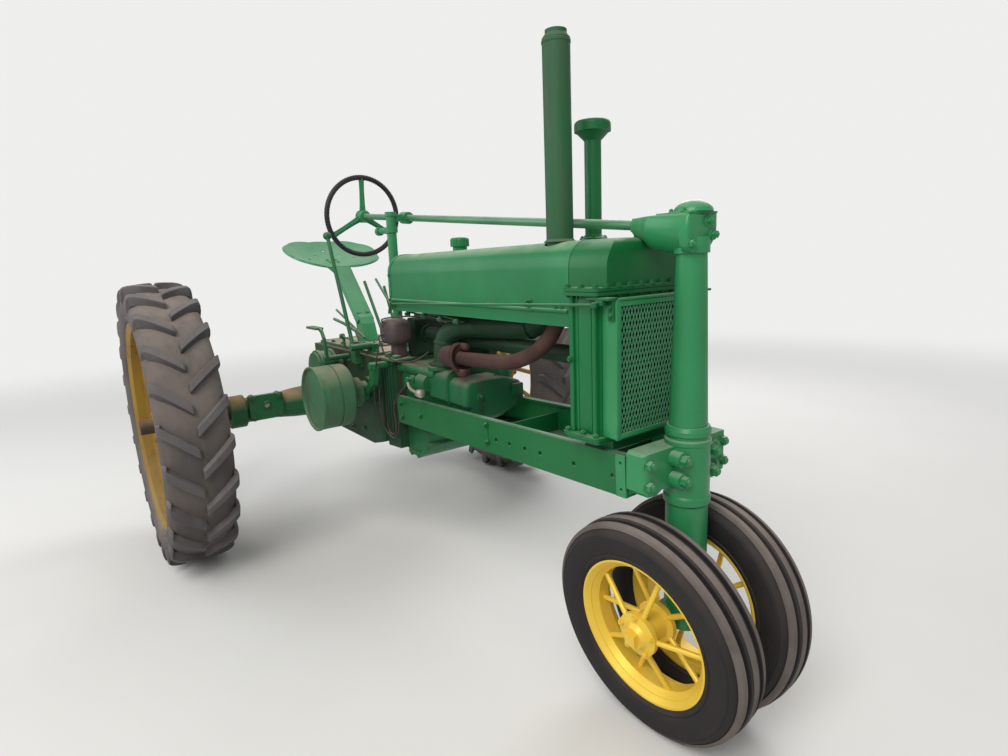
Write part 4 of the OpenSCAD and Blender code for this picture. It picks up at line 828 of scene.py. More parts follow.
    @classmethod
    @cache
    def mesh(cls) -> Tree:
        """Builds the tree that lays rows of tall diamond cells of flat strand.

        Returns:
            The tree.
        """
        tree, n, into, out = cls.start("Diamond Mesh", [
            ("Across", "NodeSocketInt", 34), ("Up", "NodeSocketInt", 11), ("Cell Width", "NodeSocketFloat", 0.01),
            ("Cell Height", "NodeSocketFloat", 0.032), ("Strand", "NodeSocketFloat", 0.0022),
            ("Material", "NodeSocketMaterial", None)])
        cell = n.add("GeometryNodeCurvePrimitiveQuadrilateral", mode="KITE")
        n.link(into.outputs["Cell Width"], cell.inputs["Width"])
        for label in ("Bottom Height", "Top Height"):
            n.link(n.math("MULTIPLY", into.outputs["Cell Height"], 0.5), cell.inputs[label])
        strip = n.add("GeometryNodeCurvePrimitiveQuadrilateral", mode="RECTANGLE")
        n.link(into.outputs["Strand"], strip.inputs["Width"])
        n.link(into.outputs["Strand"], strip.inputs["Height"])
        wire = n.add("GeometryNodeCurveToMesh")
        n.link(cell.outputs[0], wire.inputs["Curve"])
        n.link(strip.outputs[0], wire.inputs["Profile Curve"])
        grid = n.add("GeometryNodeMeshGrid")
        n.link(into.outputs["Across"], grid.inputs["Vertices X"])
        n.link(into.outputs["Up"], grid.inputs["Vertices Y"])
        for count, pitch, size in (("Across", "Cell Width", "Size X"), ("Up", "Cell Height", "Size Y")):
            n.link(n.math("MULTIPLY", n.math("SUBTRACT", into.outputs[count], 1.0), into.outputs[pitch]),
                   grid.inputs[size])
        place = n.add("GeometryNodeInstanceOnPoints")
        n.link(grid.outputs[0], place.inputs["Points"])
        n.link(wire.outputs[0], place.inputs["Instance"])
        cls.end(n, into, out, place.outputs[0])
        return tree

    @staticmethod
    def run(name: str, source: bpy.types.Mesh, tree: Tree, finish: Finish,
            **values: object) -> bpy.types.Mesh:
        """Runs a tree on a mesh and keeps the result as a plain mesh.

        Args:
            name: Name of the new mesh.
            source: Mesh that the tree starts from.
            tree: The tree.
            finish: Finish that the tree sets.
            **values: Inputs by name, with underscores for spaces.

        Returns:
            The new mesh.
        """
        holder = put(name + "_source", source)
        added = holder.modifiers.new("Repeats", "NODES")
        added.node_group = tree
        wanted = {key.replace("_", " "): value for key, value in values.items()}
        wanted["Material"] = finish.material()
        for item in tree.interface.items_tree:
            if item.item_type == "SOCKET" and item.in_out == "INPUT" and item.name in wanted:
                added[item.identifier] = wanted[item.name]
        graph = bpy.context.evaluated_depsgraph_get()
        made = bpy.data.meshes.new_from_object(holder.evaluated_get(graph), depsgraph=graph)
        made.name = name
        holder.modifiers.clear()
        bpy.data.objects.remove(holder)
        return made


class Nuts:
    """Collects the nuts and bolt heads of one body and finish."""

    def __init__(self, name: str, finish: Finish, body: str = "chassis", **shape: float) -> None:
        """Starts an empty set.

        Args:
            name: Name of the piece.
            finish: Finish of the nuts.
            body: Body that carries them.
            **shape: Inputs of the nut tree.
        """
        self.name, self.finish, self.body, self.shape = name, finish, body, shape
        self.rows: list[tuple[Vector, Vector, float]] = []

    def add(self, places: Iterable[Point], axis: Point, size: float, matrix: Matrix | None = None) -> "Nuts":
        """Adds nuts that face one way.

        Args:
            places: Seats of the nuts, in millimetres.
            axis: Direction that they face.
            size: Half the width across corners, in millimetres.
            matrix: Move of the places and the axis, or none.

        Returns:
            The set itself.
        """
        for place in places:
            spot, way = Vector(place), Vector(axis).normalized()
            if matrix is not None:
                spot, way = matrix @ spot, (matrix.to_3x3() @ way).normalized()
            self.rows.append((at(*spot), way, size / MILLIMETRES))
        return self

    def build(self) -> None:
        """Sets a nut on each place."""
        points = bpy.data.meshes.new(self.name + "_points")
        points.from_pydata([row[0] for row in self.rows], [], [])
        points.attributes.new("axis", "FLOAT_VECTOR", "POINT")
        points.attributes.new("size", "FLOAT", "POINT")
        points.attributes["axis"].data.foreach_set("vector", [number for row in self.rows for number in row[1]])
        points.attributes["size"].data.foreach_set("value", [row[2] for row in self.rows])
        mesh = Repeats.run(self.name, points, Repeats.bolts(), self.finish, **self.shape)
        settle(self.name, mesh, self.finish, self.body)


def circle(centre: Point, radius: float, count: int, start: float = 0.0, plane: str = "yz") -> list[Point]:
    """Lists places evenly round a circle.

    Args:
        centre: Middle of the circle.
        radius: Radius of the circle.
        count: Number of places.
        start: Angle of the first place, in degrees.
        plane: The two directions that the circle lies in.

    Returns:
        The places.
    """
    places = []
    for i in range(count):
        a = math.radians(start + 360.0 * i / count)
        place = list(centre)
        place["xyz".index(plane[0])] += radius * math.cos(a)
        place["xyz".index(plane[1])] += radius * math.sin(a)
        places.append(tuple(place))
    return places


def wheel_matrix(node: str, side: int, camber: float = 0.0) -> Matrix:
    """Finds the place of a wheel from its tyre's box.

    Args:
        node: Name of the tyre's node.
        side: 1 on the left and -1 on the right.
        camber: Lean of the wheel, in degrees.

    Returns:
        Move from the wheel's own place, with +y outward, in millimetres from the rear axle.
    """
    low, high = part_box(node)
    middle = (low + high) / 2 * MILLIMETRES
    middle.x -= REAR_X
    flip = Matrix.Diagonal((1.0, float(side), 1.0, 1.0))
    return Matrix.Translation(middle) @ flip @ Matrix.Rotation(math.radians(-camber), 4, "X")


def span(side: int, a: float, b: float) -> Pair:
    """Finds the lower and upper y between two distances from the middle.

    Args:
        side: LEFT or RIGHT.
        a: First distance.
        b: Second distance.

    Returns:
        The lower and the upper y.
    """
    return min(side * a, side * b), max(side * a, side * b)


@dataclass
class Sided:
    """A sub-assembly that the tractor has on both sides."""

    side: int

    @property
    def word(self) -> str:
        """Names the side."""
        return "left" if self.side == LEFT else "right"


@dataclass
class RearTyre(Sided):
    """Rear tractor tyre with a smooth carcass and two staggered rows of slanted lugs."""

    radius: float = 647.7
    carcass: float = 622.0
    half: float = 134.0
    count: int = 23
    lug_top: float = 36.0
    lug_base: float = 50.0

    def outline(self) -> list[Pair]:
        """Draws the carcass from one bead to the other.

        Returns:
            Pairs of radius and offset.
        """
        c = self.carcass
        right = [(461, 96), (479, 111), (487, 120), (500, 124), (504, 122), (528, 130), (556, 131), (578, 125),
                 (c - 28, 113), (c - 15, 96), (c - 6, 72), (c - 1, 38), (c, 0)]
        return right + [(r, -y) for r, y in right[-2::-1]]

    def lug(self, flip: int) -> Shape:
        """Draws one lug from the middle of the tread down over the shoulder.

        Args:
            flip: 1 for the row on the outer side and -1 for the inner one.

        Returns:
            The lug's shape round the wheel's own middle.
        """
        shape = Shape()
        step = math.tau / self.count
        stations = [(-0.02, self.radius - 5, 0.86), (0.03, self.radius, 1.0), (0.2, self.radius, 1.0),
                    (0.4, self.radius - 1, 1.02), (0.6, self.radius - 3, 1.04), (0.78, self.radius - 7, 1.06),
                    (0.9, self.radius - 12, 1.08), (0.965, self.radius - 19, 1.08), (1.0, self.radius - 34, 1.06),
                    (1.015, self.radius - 62, 0.98), (1.0, self.radius - 84, 0.8)]
        rings = []
        for t, top, wide in stations:
            turn = -0.64 * step * t + (0.5 * step if flip < 0 else 0.0)
            y = flip * (3.0 + (self.half - 5.0) * t)
            deep = top - (24.0 if t < 0.95 else 20.0)
            ring = []
            for r, half in ((deep - 14, self.lug_base * wide / 2), (top - 3, self.lug_top * wide / 2 + 1),
                            (top, self.lug_top * wide / 2 - 2)):
                ring.append((r, -half))
            ring += [(r, -w) for r, w in reversed(ring)]
            inward = 10.0 if t > 0.95 else 0.0
            rings.append([Vector((r * math.cos(turn) + w * math.sin(turn), y - flip * (inward if r < top - 5 else 0),
                                  -r * math.sin(turn) + w * math.cos(turn))) for r, w in ring])
        shape.skin(rings)
        return shape

    def build(self) -> None:
        """Builds the carcass and its lugs."""
        node, body = f"rear_tyre_{self.word}", f"rear_wheel_{self.word}"
        place = wheel_matrix(node, self.side)
        carcass = Shape()
        carcass.turned((0, 0, 0), (0, 1, 0), self.outline(), 138, closed=True)
        carcass.moved(place)
        carcass.piece(f"rear_carcass_{self.word}", RUBBER, body, (node,), 40.0)
        pair = Shape()
        for flip in (1, -1):
            lug = self.lug(flip)
            bmesh.ops.recalc_face_normals(lug.bm, faces=lug.bm.faces)
            pair.join(lug)
        joined = bpy.data.meshes.new("lug_pair")
        pair.bm.to_mesh(joined)
        mesh = Repeats.run(f"rear_lugs_{self.word}", joined, Repeats.ring(), LUG,
                           Count=self.count, Step=math.tau / self.count)
        shape = Shape()
        shape.bm.from_mesh(mesh)
        shape.moved(place)
        shape.piece(f"rear_lugs_{self.word}", LUG, body, (), 28.0)


@dataclass
class FrontTyre(Sided):
    """Ribbed front tyre and the nuts of its hub."""

    radius: float = 319.7
    camber: float = 6.0
    steps: int = 120

    def outline(self) -> list[Pair]:
        """Draws the section from one bead to the other.

        Returns:
            Pairs of radius and offset.
        """
        r = self.radius
        right = [(201, 38), (213, 52), (218, 56), (224, 61), (227, 61), (229, 59), (231, 60), (250, 67), (270, 69),
                 (284, 67), (286, 65), (288, 66), (298, 59), (301, 52), (r - 10, 50), (r - 6, 47), (r - 4, 41),
                 (r - 3, 34), (r - 5, 32), (r - 14, 31), (r - 17, 29), (r - 17, 22), (r - 14, 20), (r - 4, 18.5),
                 (r - 1.5, 16), (r, 8), (r, 0)]
        return right + [(a, -b) for a, b in right[-2::-1]]

    def build(self) -> None:
        """Builds the tyre, its ribs and the hub nuts."""
        node, body = f"front_tyre_{self.word}", f"front_wheel_{self.word}"
        place = wheel_matrix(node, self.side, self.camber)
        tyre = Shape()
        tyre.turned((0, 0, 0), (0, 1, 0), self.outline(), self.steps, closed=True)
        tyre.moved(place)
        tyre.piece(f"front_rubber_{self.word}", FRONT_RUBBER, body, (node,), 34.0)
        ribs, r = Shape(), self.radius
        rib = [(r - 6, -17), (r - 2, -16.6), (r + 0.2, -8), (r + 0.25, 0), (r + 0.2, 8), (r - 2, 16.6), (r - 6, 17)]
        ribs.turned((0, 0, 0), (0, 1, 0), rib, self.steps, closed=True)
        for s in (RIGHT, LEFT):
            rib = [(r - 16, s * 53), (r - 9.4, s * 50.7), (r - 5.4, s * 47.6), (r - 3.4, s * 41), (r - 2.5, s * 34),
                   (r - 7, s * 33)]
            ribs.turned((0, 0, 0), (0, 1, 0), rib, self.steps, closed=True)
        ribs.moved(place)
        ribs.piece(f"front_ribs_{self.word}", TREAD, body, (), 34.0)
        nuts = Nuts(f"front_hub_nuts_{self.word}", YELLOW, body, Stud=0.5)
        nuts.add(circle((0, 46, 0), 54, 5, 18, "xz"), (0, 1, 0), 9, place @ Matrix.Translation((0, 14.5, 0)))
        nuts.build()


@dataclass
class RearWheelDress(Sided):
    """Nuts on both faces of a rear wheel's hub."""

    hub_half: float = 78.0

    def build(self) -> None:
        """Builds the nuts."""
        place = wheel_matrix(f"rear_tyre_{self.word}", self.side)
        nuts = Nuts(f"rear_hub_nuts_{self.word}", SHADED_REAR_YELLOW, f"rear_wheel_{self.word}", Stud=0.5)
        nuts.add(circle((0, 62, 0), 86, 8, 22, "xz"), (0, 1, 0), 11, place @ Matrix.Translation((0, 8, 0)))
        nuts.add(circle((0, -self.hub_half, 0), 66, 6, 0, "xz"), (0, -1, 0), 12, place)
        nuts.build()


@dataclass
class SteeringWheelDress:
    """Steering wheel: a black ribbed grip on three flat green spokes with a turned hub."""

    column_x: float = 2163.0
    shaft_z: float = 1400.0
    rise: float = 5.1
    wheel_x: float = 195.0
    radius: float = 187.0
    grip: float = 13.0
    ribs: int = 84

    def place(self) -> Matrix:
        """Finds the wheel's own place, with +z along the shaft to the rear.

        Returns:
            The move in millimetres from the rear axle.
        """
        z = self.shaft_z + (self.column_x - self.wheel_x) * math.tan(math.radians(self.rise))
        return Matrix.Translation((self.wheel_x, 0, z)) @ Matrix.Rotation(math.radians(-90 + self.rise), 4, "Y")

    def build(self) -> None:
        """Builds the grip, the spokes and the hub."""
        grip = Shape()
        count, sides = self.ribs * 4, 16
        rings = []
        for i in range(count):
            a = math.tau * i / count
            rib = 1.0 + 0.045 * math.sin(a * self.ribs)
            rings.append([Vector(((self.radius + rib * self.grip * math.cos(b) * 0.95) * math.cos(a),
                                  (self.radius + rib * self.grip * math.cos(b) * 0.95) * math.sin(a),
                                  rib * self.grip * 0.95 * math.sin(b)))
                          for b in (math.tau * k / sides for k in range(sides))])
        grip.skin(rings, loop=True)
        grip.moved(self.place())
        grip.piece("wheel_grip", GRIP, "steering_wheel", ("steering_wheel",), 60.0)
        spokes = Shape()
        for turn in (0, 120, 240):
            arm = Shape()
            rows = []
            for r, wide, thick in ((14, 17, 4.5), (60, 13.5, 4), (120, 12, 3.5), (self.radius - 22, 13, 3.5),
                                   (self.radius - 4, 15, 4.5)):
                rows.append([Vector((r, y * wide, z * thick)) for y, z in
                             ((-1, -0.5), (-0.8, -1), (-0.35, -1), (-0.3, -2.3), (0.3, -2.3), (0.35, -1), (0.8, -1),
                              (1, -0.5), (1, 0.5), (0.8, 1), (-0.8, 1), (-1, 0.5))])
            arm.skin(rows)
            arm.moved(Matrix.Rotation(math.radians(turn), 4, "Z"))
            spokes.join(arm)
        spokes.turned((0, 0, -34), (0, 0, 1), [(16, 0), (27, 1), (30, 4), (30, 18), (26, 22), (26, 44), (31, 47),
                                               (31, 54), (26, 58), (15, 60), (14, 64), (0, 65)], 48)
        spokes.moved(self.place())
        spokes.piece("wheel_spokes", COLUMN, "steering_wheel", (), 30.0)


@dataclass
class SeatDress:
    """Rolled lip and bolts of the pan seat."""

    centre: Point = (-300.0, 0.0, 1371.0)
    tilt: float = 22.0
    dish: float = 620.0
    width: float = 520.0
    notch_x: float = 222.0
    notch_r: float = 56.0
    steps: int = 180

    def edge(self, angle: float) -> Pair:
        """Finds the pan's edge in one direction.

        Args:
            angle: Direction from the pan's middle, in radians.

        Returns:
            The place in the pan's own plan.
        """
        half = self.width / 2
        pairs = ((-24.0, 70.0, 168.0), (-2.0, half - 152, 152.0), (22.0, half - 136, 136.0),
                 (100.0, half - 128, 104.0))
        discs = [(-14.0, 0.0, 186.0)] + [(x, s * y, r) for s in (LEFT, RIGHT) for x, y, r in pairs]
        way = (math.cos(angle), math.sin(angle))
        reach = 0.0
        for x, y, r in discs:
            along = x * way[0] + y * way[1]
            gap = along * along - (x * x + y * y - r * r)
            if gap > 0:
                reach = max(reach, along + math.sqrt(gap))
        along = self.notch_x * way[0]
        gap = along * along - (self.notch_x ** 2 - self.notch_r ** 2)
        if gap > 0 and along > 0:
            near = along - math.sqrt(gap)
            if near < reach:
                reach = near
        return reach * way[0], reach * way[1]

    def build(self) -> None:
        """Builds the lip and the bolts."""
        place = Matrix.Translation(self.centre) @ Matrix.Rotation(math.radians(self.tilt), 4, "Y")
        line = []
        for i in range(self.steps):
            x, y = self.edge(math.tau * i / self.steps)
            line.append((x, y, self.dish - math.sqrt(self.dish ** 2 - x * x - y * y) - 1.0))
        lip = Shape()
        lip.tube(line, 5.5, 10, loop=True)
        lip.moved(place)
        lip.piece("seat_lip", SEAT, sharp=60.0)
        nuts = Nuts("seat_bolts", SEAT, Head_Height=0.4, Stud=0.3)
        nuts.add([(20, y, 7) for y in (-24, 24)] + [(60, y, 9) for y in (-24, 24)], (0, 0, 1), 8, place)
        nuts.build()


@dataclass
class ScreenDress:
    """Screen box in front of the radiator with its diamond mesh and hinge straps."""

    x0: float = 2031.0
    x1: float = 2081.0
    half: float = 188.0
    z0: float = 860.0
    z1: float = 1226.0
    border: float = 16.0
    across: int = 29
    pitch: float = 12.2
    cell: float = 31.8
    strand: float = 2.3

    def build(self) -> None:
        """Builds the box frame, the mesh and the straps."""
        box = Shape()
        for y in (-self.half, self.half - 4):
            box.slab((self.x0 - 8, y, self.z0), (self.x1, y + 4, self.z1), 1.2)
        for z in (self.z0, self.z1 - 4):
            box.slab((self.x0 - 8, -self.half, z), (self.x1, self.half, z + 4), 1.2)
        for y in (-self.half, self.half - self.border):
            box.slab((self.x1 - 3, y - 0.4, self.z0 - 0.4),
                     (self.x1 + 0.5, y + self.border + 0.4, self.z1 + 0.4), 1.0)
        for z in (self.z0, self.z1 - self.border):
            box.slab((self.x1 - 3.6, 1 - self.half, z + 0.5), (self.x1, self.half - 1, z + self.border - 0.5), 1.0)
        box.tube(eased([(self.x1 - 1, -self.half + 6, self.z1 + 3), (self.x1 - 1, -60, self.z1 + 3),
                        (self.x1 - 1, 60, self.z1 + 3), (self.x1 - 1, self.half - 6, self.z1 + 3)]), 4, 10)
        box.piece("screen_box", COLUMN, replaces=("radiator_screen",))
        bars = Shape()
        for i in range(12):
            y = -131 + self.pitch * 2 * i
            bars.slab((self.x1 - 16, y - 3.5, self.z0 + 3), (self.x1 - 12, y + 3.5, self.z1 - 3), 0.6)
        bars.piece("screen_bars", RADIATOR)
        opening = self.z1 - self.z0 - 2 * self.border
        up = round(opening / self.cell)
        seed = bpy.data.meshes.new("screen_seed")
        seed.from_pydata([(0, 0, 0)], [], [])
        mesh = Repeats.run("screen_mesh", seed, Repeats.mesh(), MESH, Across=self.across + 1, Up=up + 1,
                           Cell_Width=self.pitch / MILLIMETRES,
                           Cell_Height=opening / up / MILLIMETRES, Strand=self.strand / MILLIMETRES)
        turn = Matrix(((0, 0, 1, 0), (1, 0, 0, 0), (0, 1, 0, 0), (0, 0, 0, 1)))
        middle = at(self.x1 - 3.2, 0, (self.z0 + self.z1) / 2)
        cut = bmesh.new()
        cut.from_mesh(mesh)
        bmesh.ops.transform(cut, matrix=Matrix.Translation(middle) @ turn, verts=cut.verts)
        for point, normal in ((at(0, self.half - 6, 0), (0, 1, 0)), (at(0, 6 - self.half, 0), (0, -1, 0)),
                              (at(0, 0, self.z1 - 6), (0, 0, 1)), (at(0, 0, self.z0 + 6), (0, 0, -1))):
            geometry = cut.verts[:] + cut.edges[:] + cut.faces[:]
            bmesh.ops.bisect_plane(cut, geom=geometry, plane_co=point, plane_no=normal, clear_outer=True)
        cut.to_mesh(mesh)
        cut.free()
        settle("screen_mesh", mesh, MESH, "chassis", (), 50.0)
        straps = Shape()
        for s in (RIGHT, LEFT):
            low, high = span(s, self.half - 4, self.half + 6)
            straps.slab((self.x0 + 24, low, self.z1 - 52), (self.x0 + 44, high, self.z1 + 4), 2)
            low, high = span(s, self.half - 8, self.half + 26)
            straps.slab((self.x0 - 34, low, self.z1 + 1), (self.x0 + 46, high, self.z1 + 8), 2)
            straps.slab((self.x0 - 2, low, self.z1 - 12), (self.x0 + 24, high - 6, self.z1 + 2), 2)
        straps.piece("screen_straps", SHEET)


@dataclass
class RadiatorDress:
    """Flange studs, side panel and foot nuts of the radiator and its top tank."""

    x0: float = 1923.0
    x1: float = 2031.0
    half: float = 208.0
    foot_z: float = 860.0
    tank_z: float = 1238.0

    def build(self) -> None:
        """Builds the trim and the nuts."""
        nuts = Nuts("radiator_nuts", SHEET, Stud=0.5)
        top = self.tank_z + 20.2
        for s in (RIGHT, LEFT):
            side = [(self.x0 + 2 + 52 * i, s * (self.half + 3), top) for i in range(3)]
            nuts.add(side, (0, 0, 1), 8)
            nuts.add([(x, y, self.tank_z) for x, y, _ in side], (0, 0, -1), 5)
            nuts.add([(x, s * (self.half + 4), self.foot_z) for x in (self.x0 - 4, self.x0 + 54, self.x1 - 4)],
                     (0, 0, 1), 9)
            nuts.add([(self.x0 + 8, s * self.half, 1064)], (0, s, 0), 8)
            nuts.add([(self.x1 + 34, s * 194, 1208), (self.x1 + 34, s * 194, 1186)], (0, s, 0), 6)
        front = [(self.x1 + 3, -176 + 44 * i, top) for i in range(9)]
        nuts.add(front, (0, 0, 1), 8)
        nuts.add([(x, y, self.tank_z) for x, y, _ in front], (0, 0, -1), 5)
        nuts.build()
        trim = Shape()
        for s in (RIGHT, LEFT):
            y = s * (self.half - 11)
            trim.slab((self.x0 + 4, min(y - s * 4, y + s * 2.5), self.foot_z + 8),
                      (self.x1 - 30, max(y - s * 4, y + s * 2.5), self.tank_z - 8), 1.6)
        trim.piece("radiator_trim", RADIATOR)


@dataclass
class HoodDress:
    """Straps, small bolts and rod stand-offs of the hood."""

    x0: float = 775.0
    x1: float = 1883.0
    half: float = 169.0
    z0: float = 1145.0
    z1: float = 1384.0
    corner: float = 76.0

    def band(self, x: float, proud: float, wide: float, shape: Shape) -> None:
        """Adds a strap across the hood.

        Args:
            x: Place of the strap.
            proud: Height of the strap above the sheet.
            wide: Width of the strap.
            shape: Shape that it is added to.
        """
        fall = (self.x1 - x) * math.tan(math.radians(0.6))
        rings = []
        for dx in (-wide / 2, wide / 2):
            for out in ((0.0, proud) if dx < 0 else (proud, 0.0)):
                line = [Vector((x + dx, -(self.half + out), self.z0 + 4))]
                for k in range(13):
                    a = math.pi * k / 24
                    line.append(Vector((x + dx, -(self.half - self.corner) - (self.corner + out) * math.cos(a),
                                        self.z1 - fall - self.corner + (self.corner + out) * math.sin(a))))
                line += [Vector((p.x, -p.y, p.z)) for p in reversed(line)]
                rings.append(line)
        rows = [[ring[i] for ring in rings] for i in range(len(rings[0]))]
        shape.skin(rows)

    def build(self) -> None:
        """Builds the straps, the bolts and the stand-offs."""
        trim = Shape()
        self.band(self.x0 + 9, 2.2, 18, trim)
        self.band(self.x1 - 2, 1.6, 10, trim)
        for s in (RIGHT, LEFT):
            trim.tube([(x, s * (self.half - 4), self.z0 + 3) for x in (self.x0 + 2, self.x1 - 2)], 4.2, 10)
        trim.piece("hood_trim", HOOD)
        nuts = Nuts("hood_bolts", HOOD, Head_Height=0.5, Stud=0.35)
        for s in (RIGHT, LEFT):
            nuts.add([(x, s * (self.half + 1), 1201) for x in (1831, 1855)], (0, s, 0), 6)
            nuts.add([(self.x0 + 9, s * (self.half + 2), z) for z in (1190, 1290)], (0, s, 0), 6)
        nuts.build()
        stand = Shape()
        for x in (self.x0 + 40, self.x1 - 170):
            z = 1173 + (x - 802) * (1216 - 1173) / (2037 - 802)
            stand.slab((x - 9, -self.half - 4, z - 16), (x + 9, -self.half - 0.5, z + 12), 1.2)
            stand.tube(eased([(x, -self.half - 2, z + 4), (x, -self.half - 12, z + 9), (x, -self.half - 20, z + 2),
                              (x, -self.half - 17, z - 8)], 4), 3.2, 8)
        stand.piece("rod_standoffs", SHEET)


@dataclass
class AxleDress(Sided):
    """Rear axle housing with its trumpet, square bolted pad and end flange."""

    case: float = 190.0
    z: float = 648.0
    bore: float = 34.4
    face: float = 86.0
    pad_z: float = 667.0

    def build(self) -> None:
        """Builds the housing, its pad and the nuts."""
        s = self.side
        tube = Shape()
        tube.turned((0, s * self.case, self.z), (0, s, 0), [
            (self.bore, 0), (116, 0), (116, 20), (113, 23), (100, 27), (90, 46), (83, 80), (79, 130), (74, 200),
            (66, 262), (62, 290), (62, 432), (64, 437), (77, 440), (80, 443), (80, 510), (76, 514), (60, 515),
            (58, 508), (self.bore, 508)], 72, closed=True)
        tube.piece(f"axle_tube_{self.word}", AXLE, replaces=(f"axle_housing_{self.word}",), sharp=40.0)
        pad = Shape()
        low, high = span(s, 459, 623)
        pad.slab((28, low + 5, self.pad_z - 56), (self.face - 9, high - 5, self.pad_z + 56), 6)
        pad.slab((self.face - 14, low, self.pad_z - 62), (self.face, high, self.pad_z + 62), 5)
        spots = [(self.face, s * y, self.pad_z + dz) for y in (480, 604) for dz in (-48, 48)]
        for x, y, z in spots:
            pad.turned((x - 40, y, z), (1, 0, 0), [(0, 0), (17, 0), (17, 38), (15, 43), (0, 43.5)], 24)
        pad.turned((self.face - 1, s * 541, self.pad_z + 8), (1, 0, 0), [(0, 0), (22, 0), (23, 4), (19, 9), (14, 10),
                                                                       (14, 6), (0, 6)], 28)
        pad.piece(f"axle_pad_{self.word}", CAST, sharp=40.0)
        nuts = Nuts(f"axle_pad_nuts_{self.word}", CAST, Stud=0.6, Head_Height=0.9)
        nuts.add([(x + 3, y, z) for x, y, z in spots], (1, 0, 0), 11)
        nuts.build()
        stud = Nuts(f"axle_pad_stud_{self.word}", BARE, Stud=0.7, Head_Height=0.6)
        stud.add([(self.face + 4, s * 541, self.pad_z + 8)], (1, 0, 0), 9)
        stud.build()


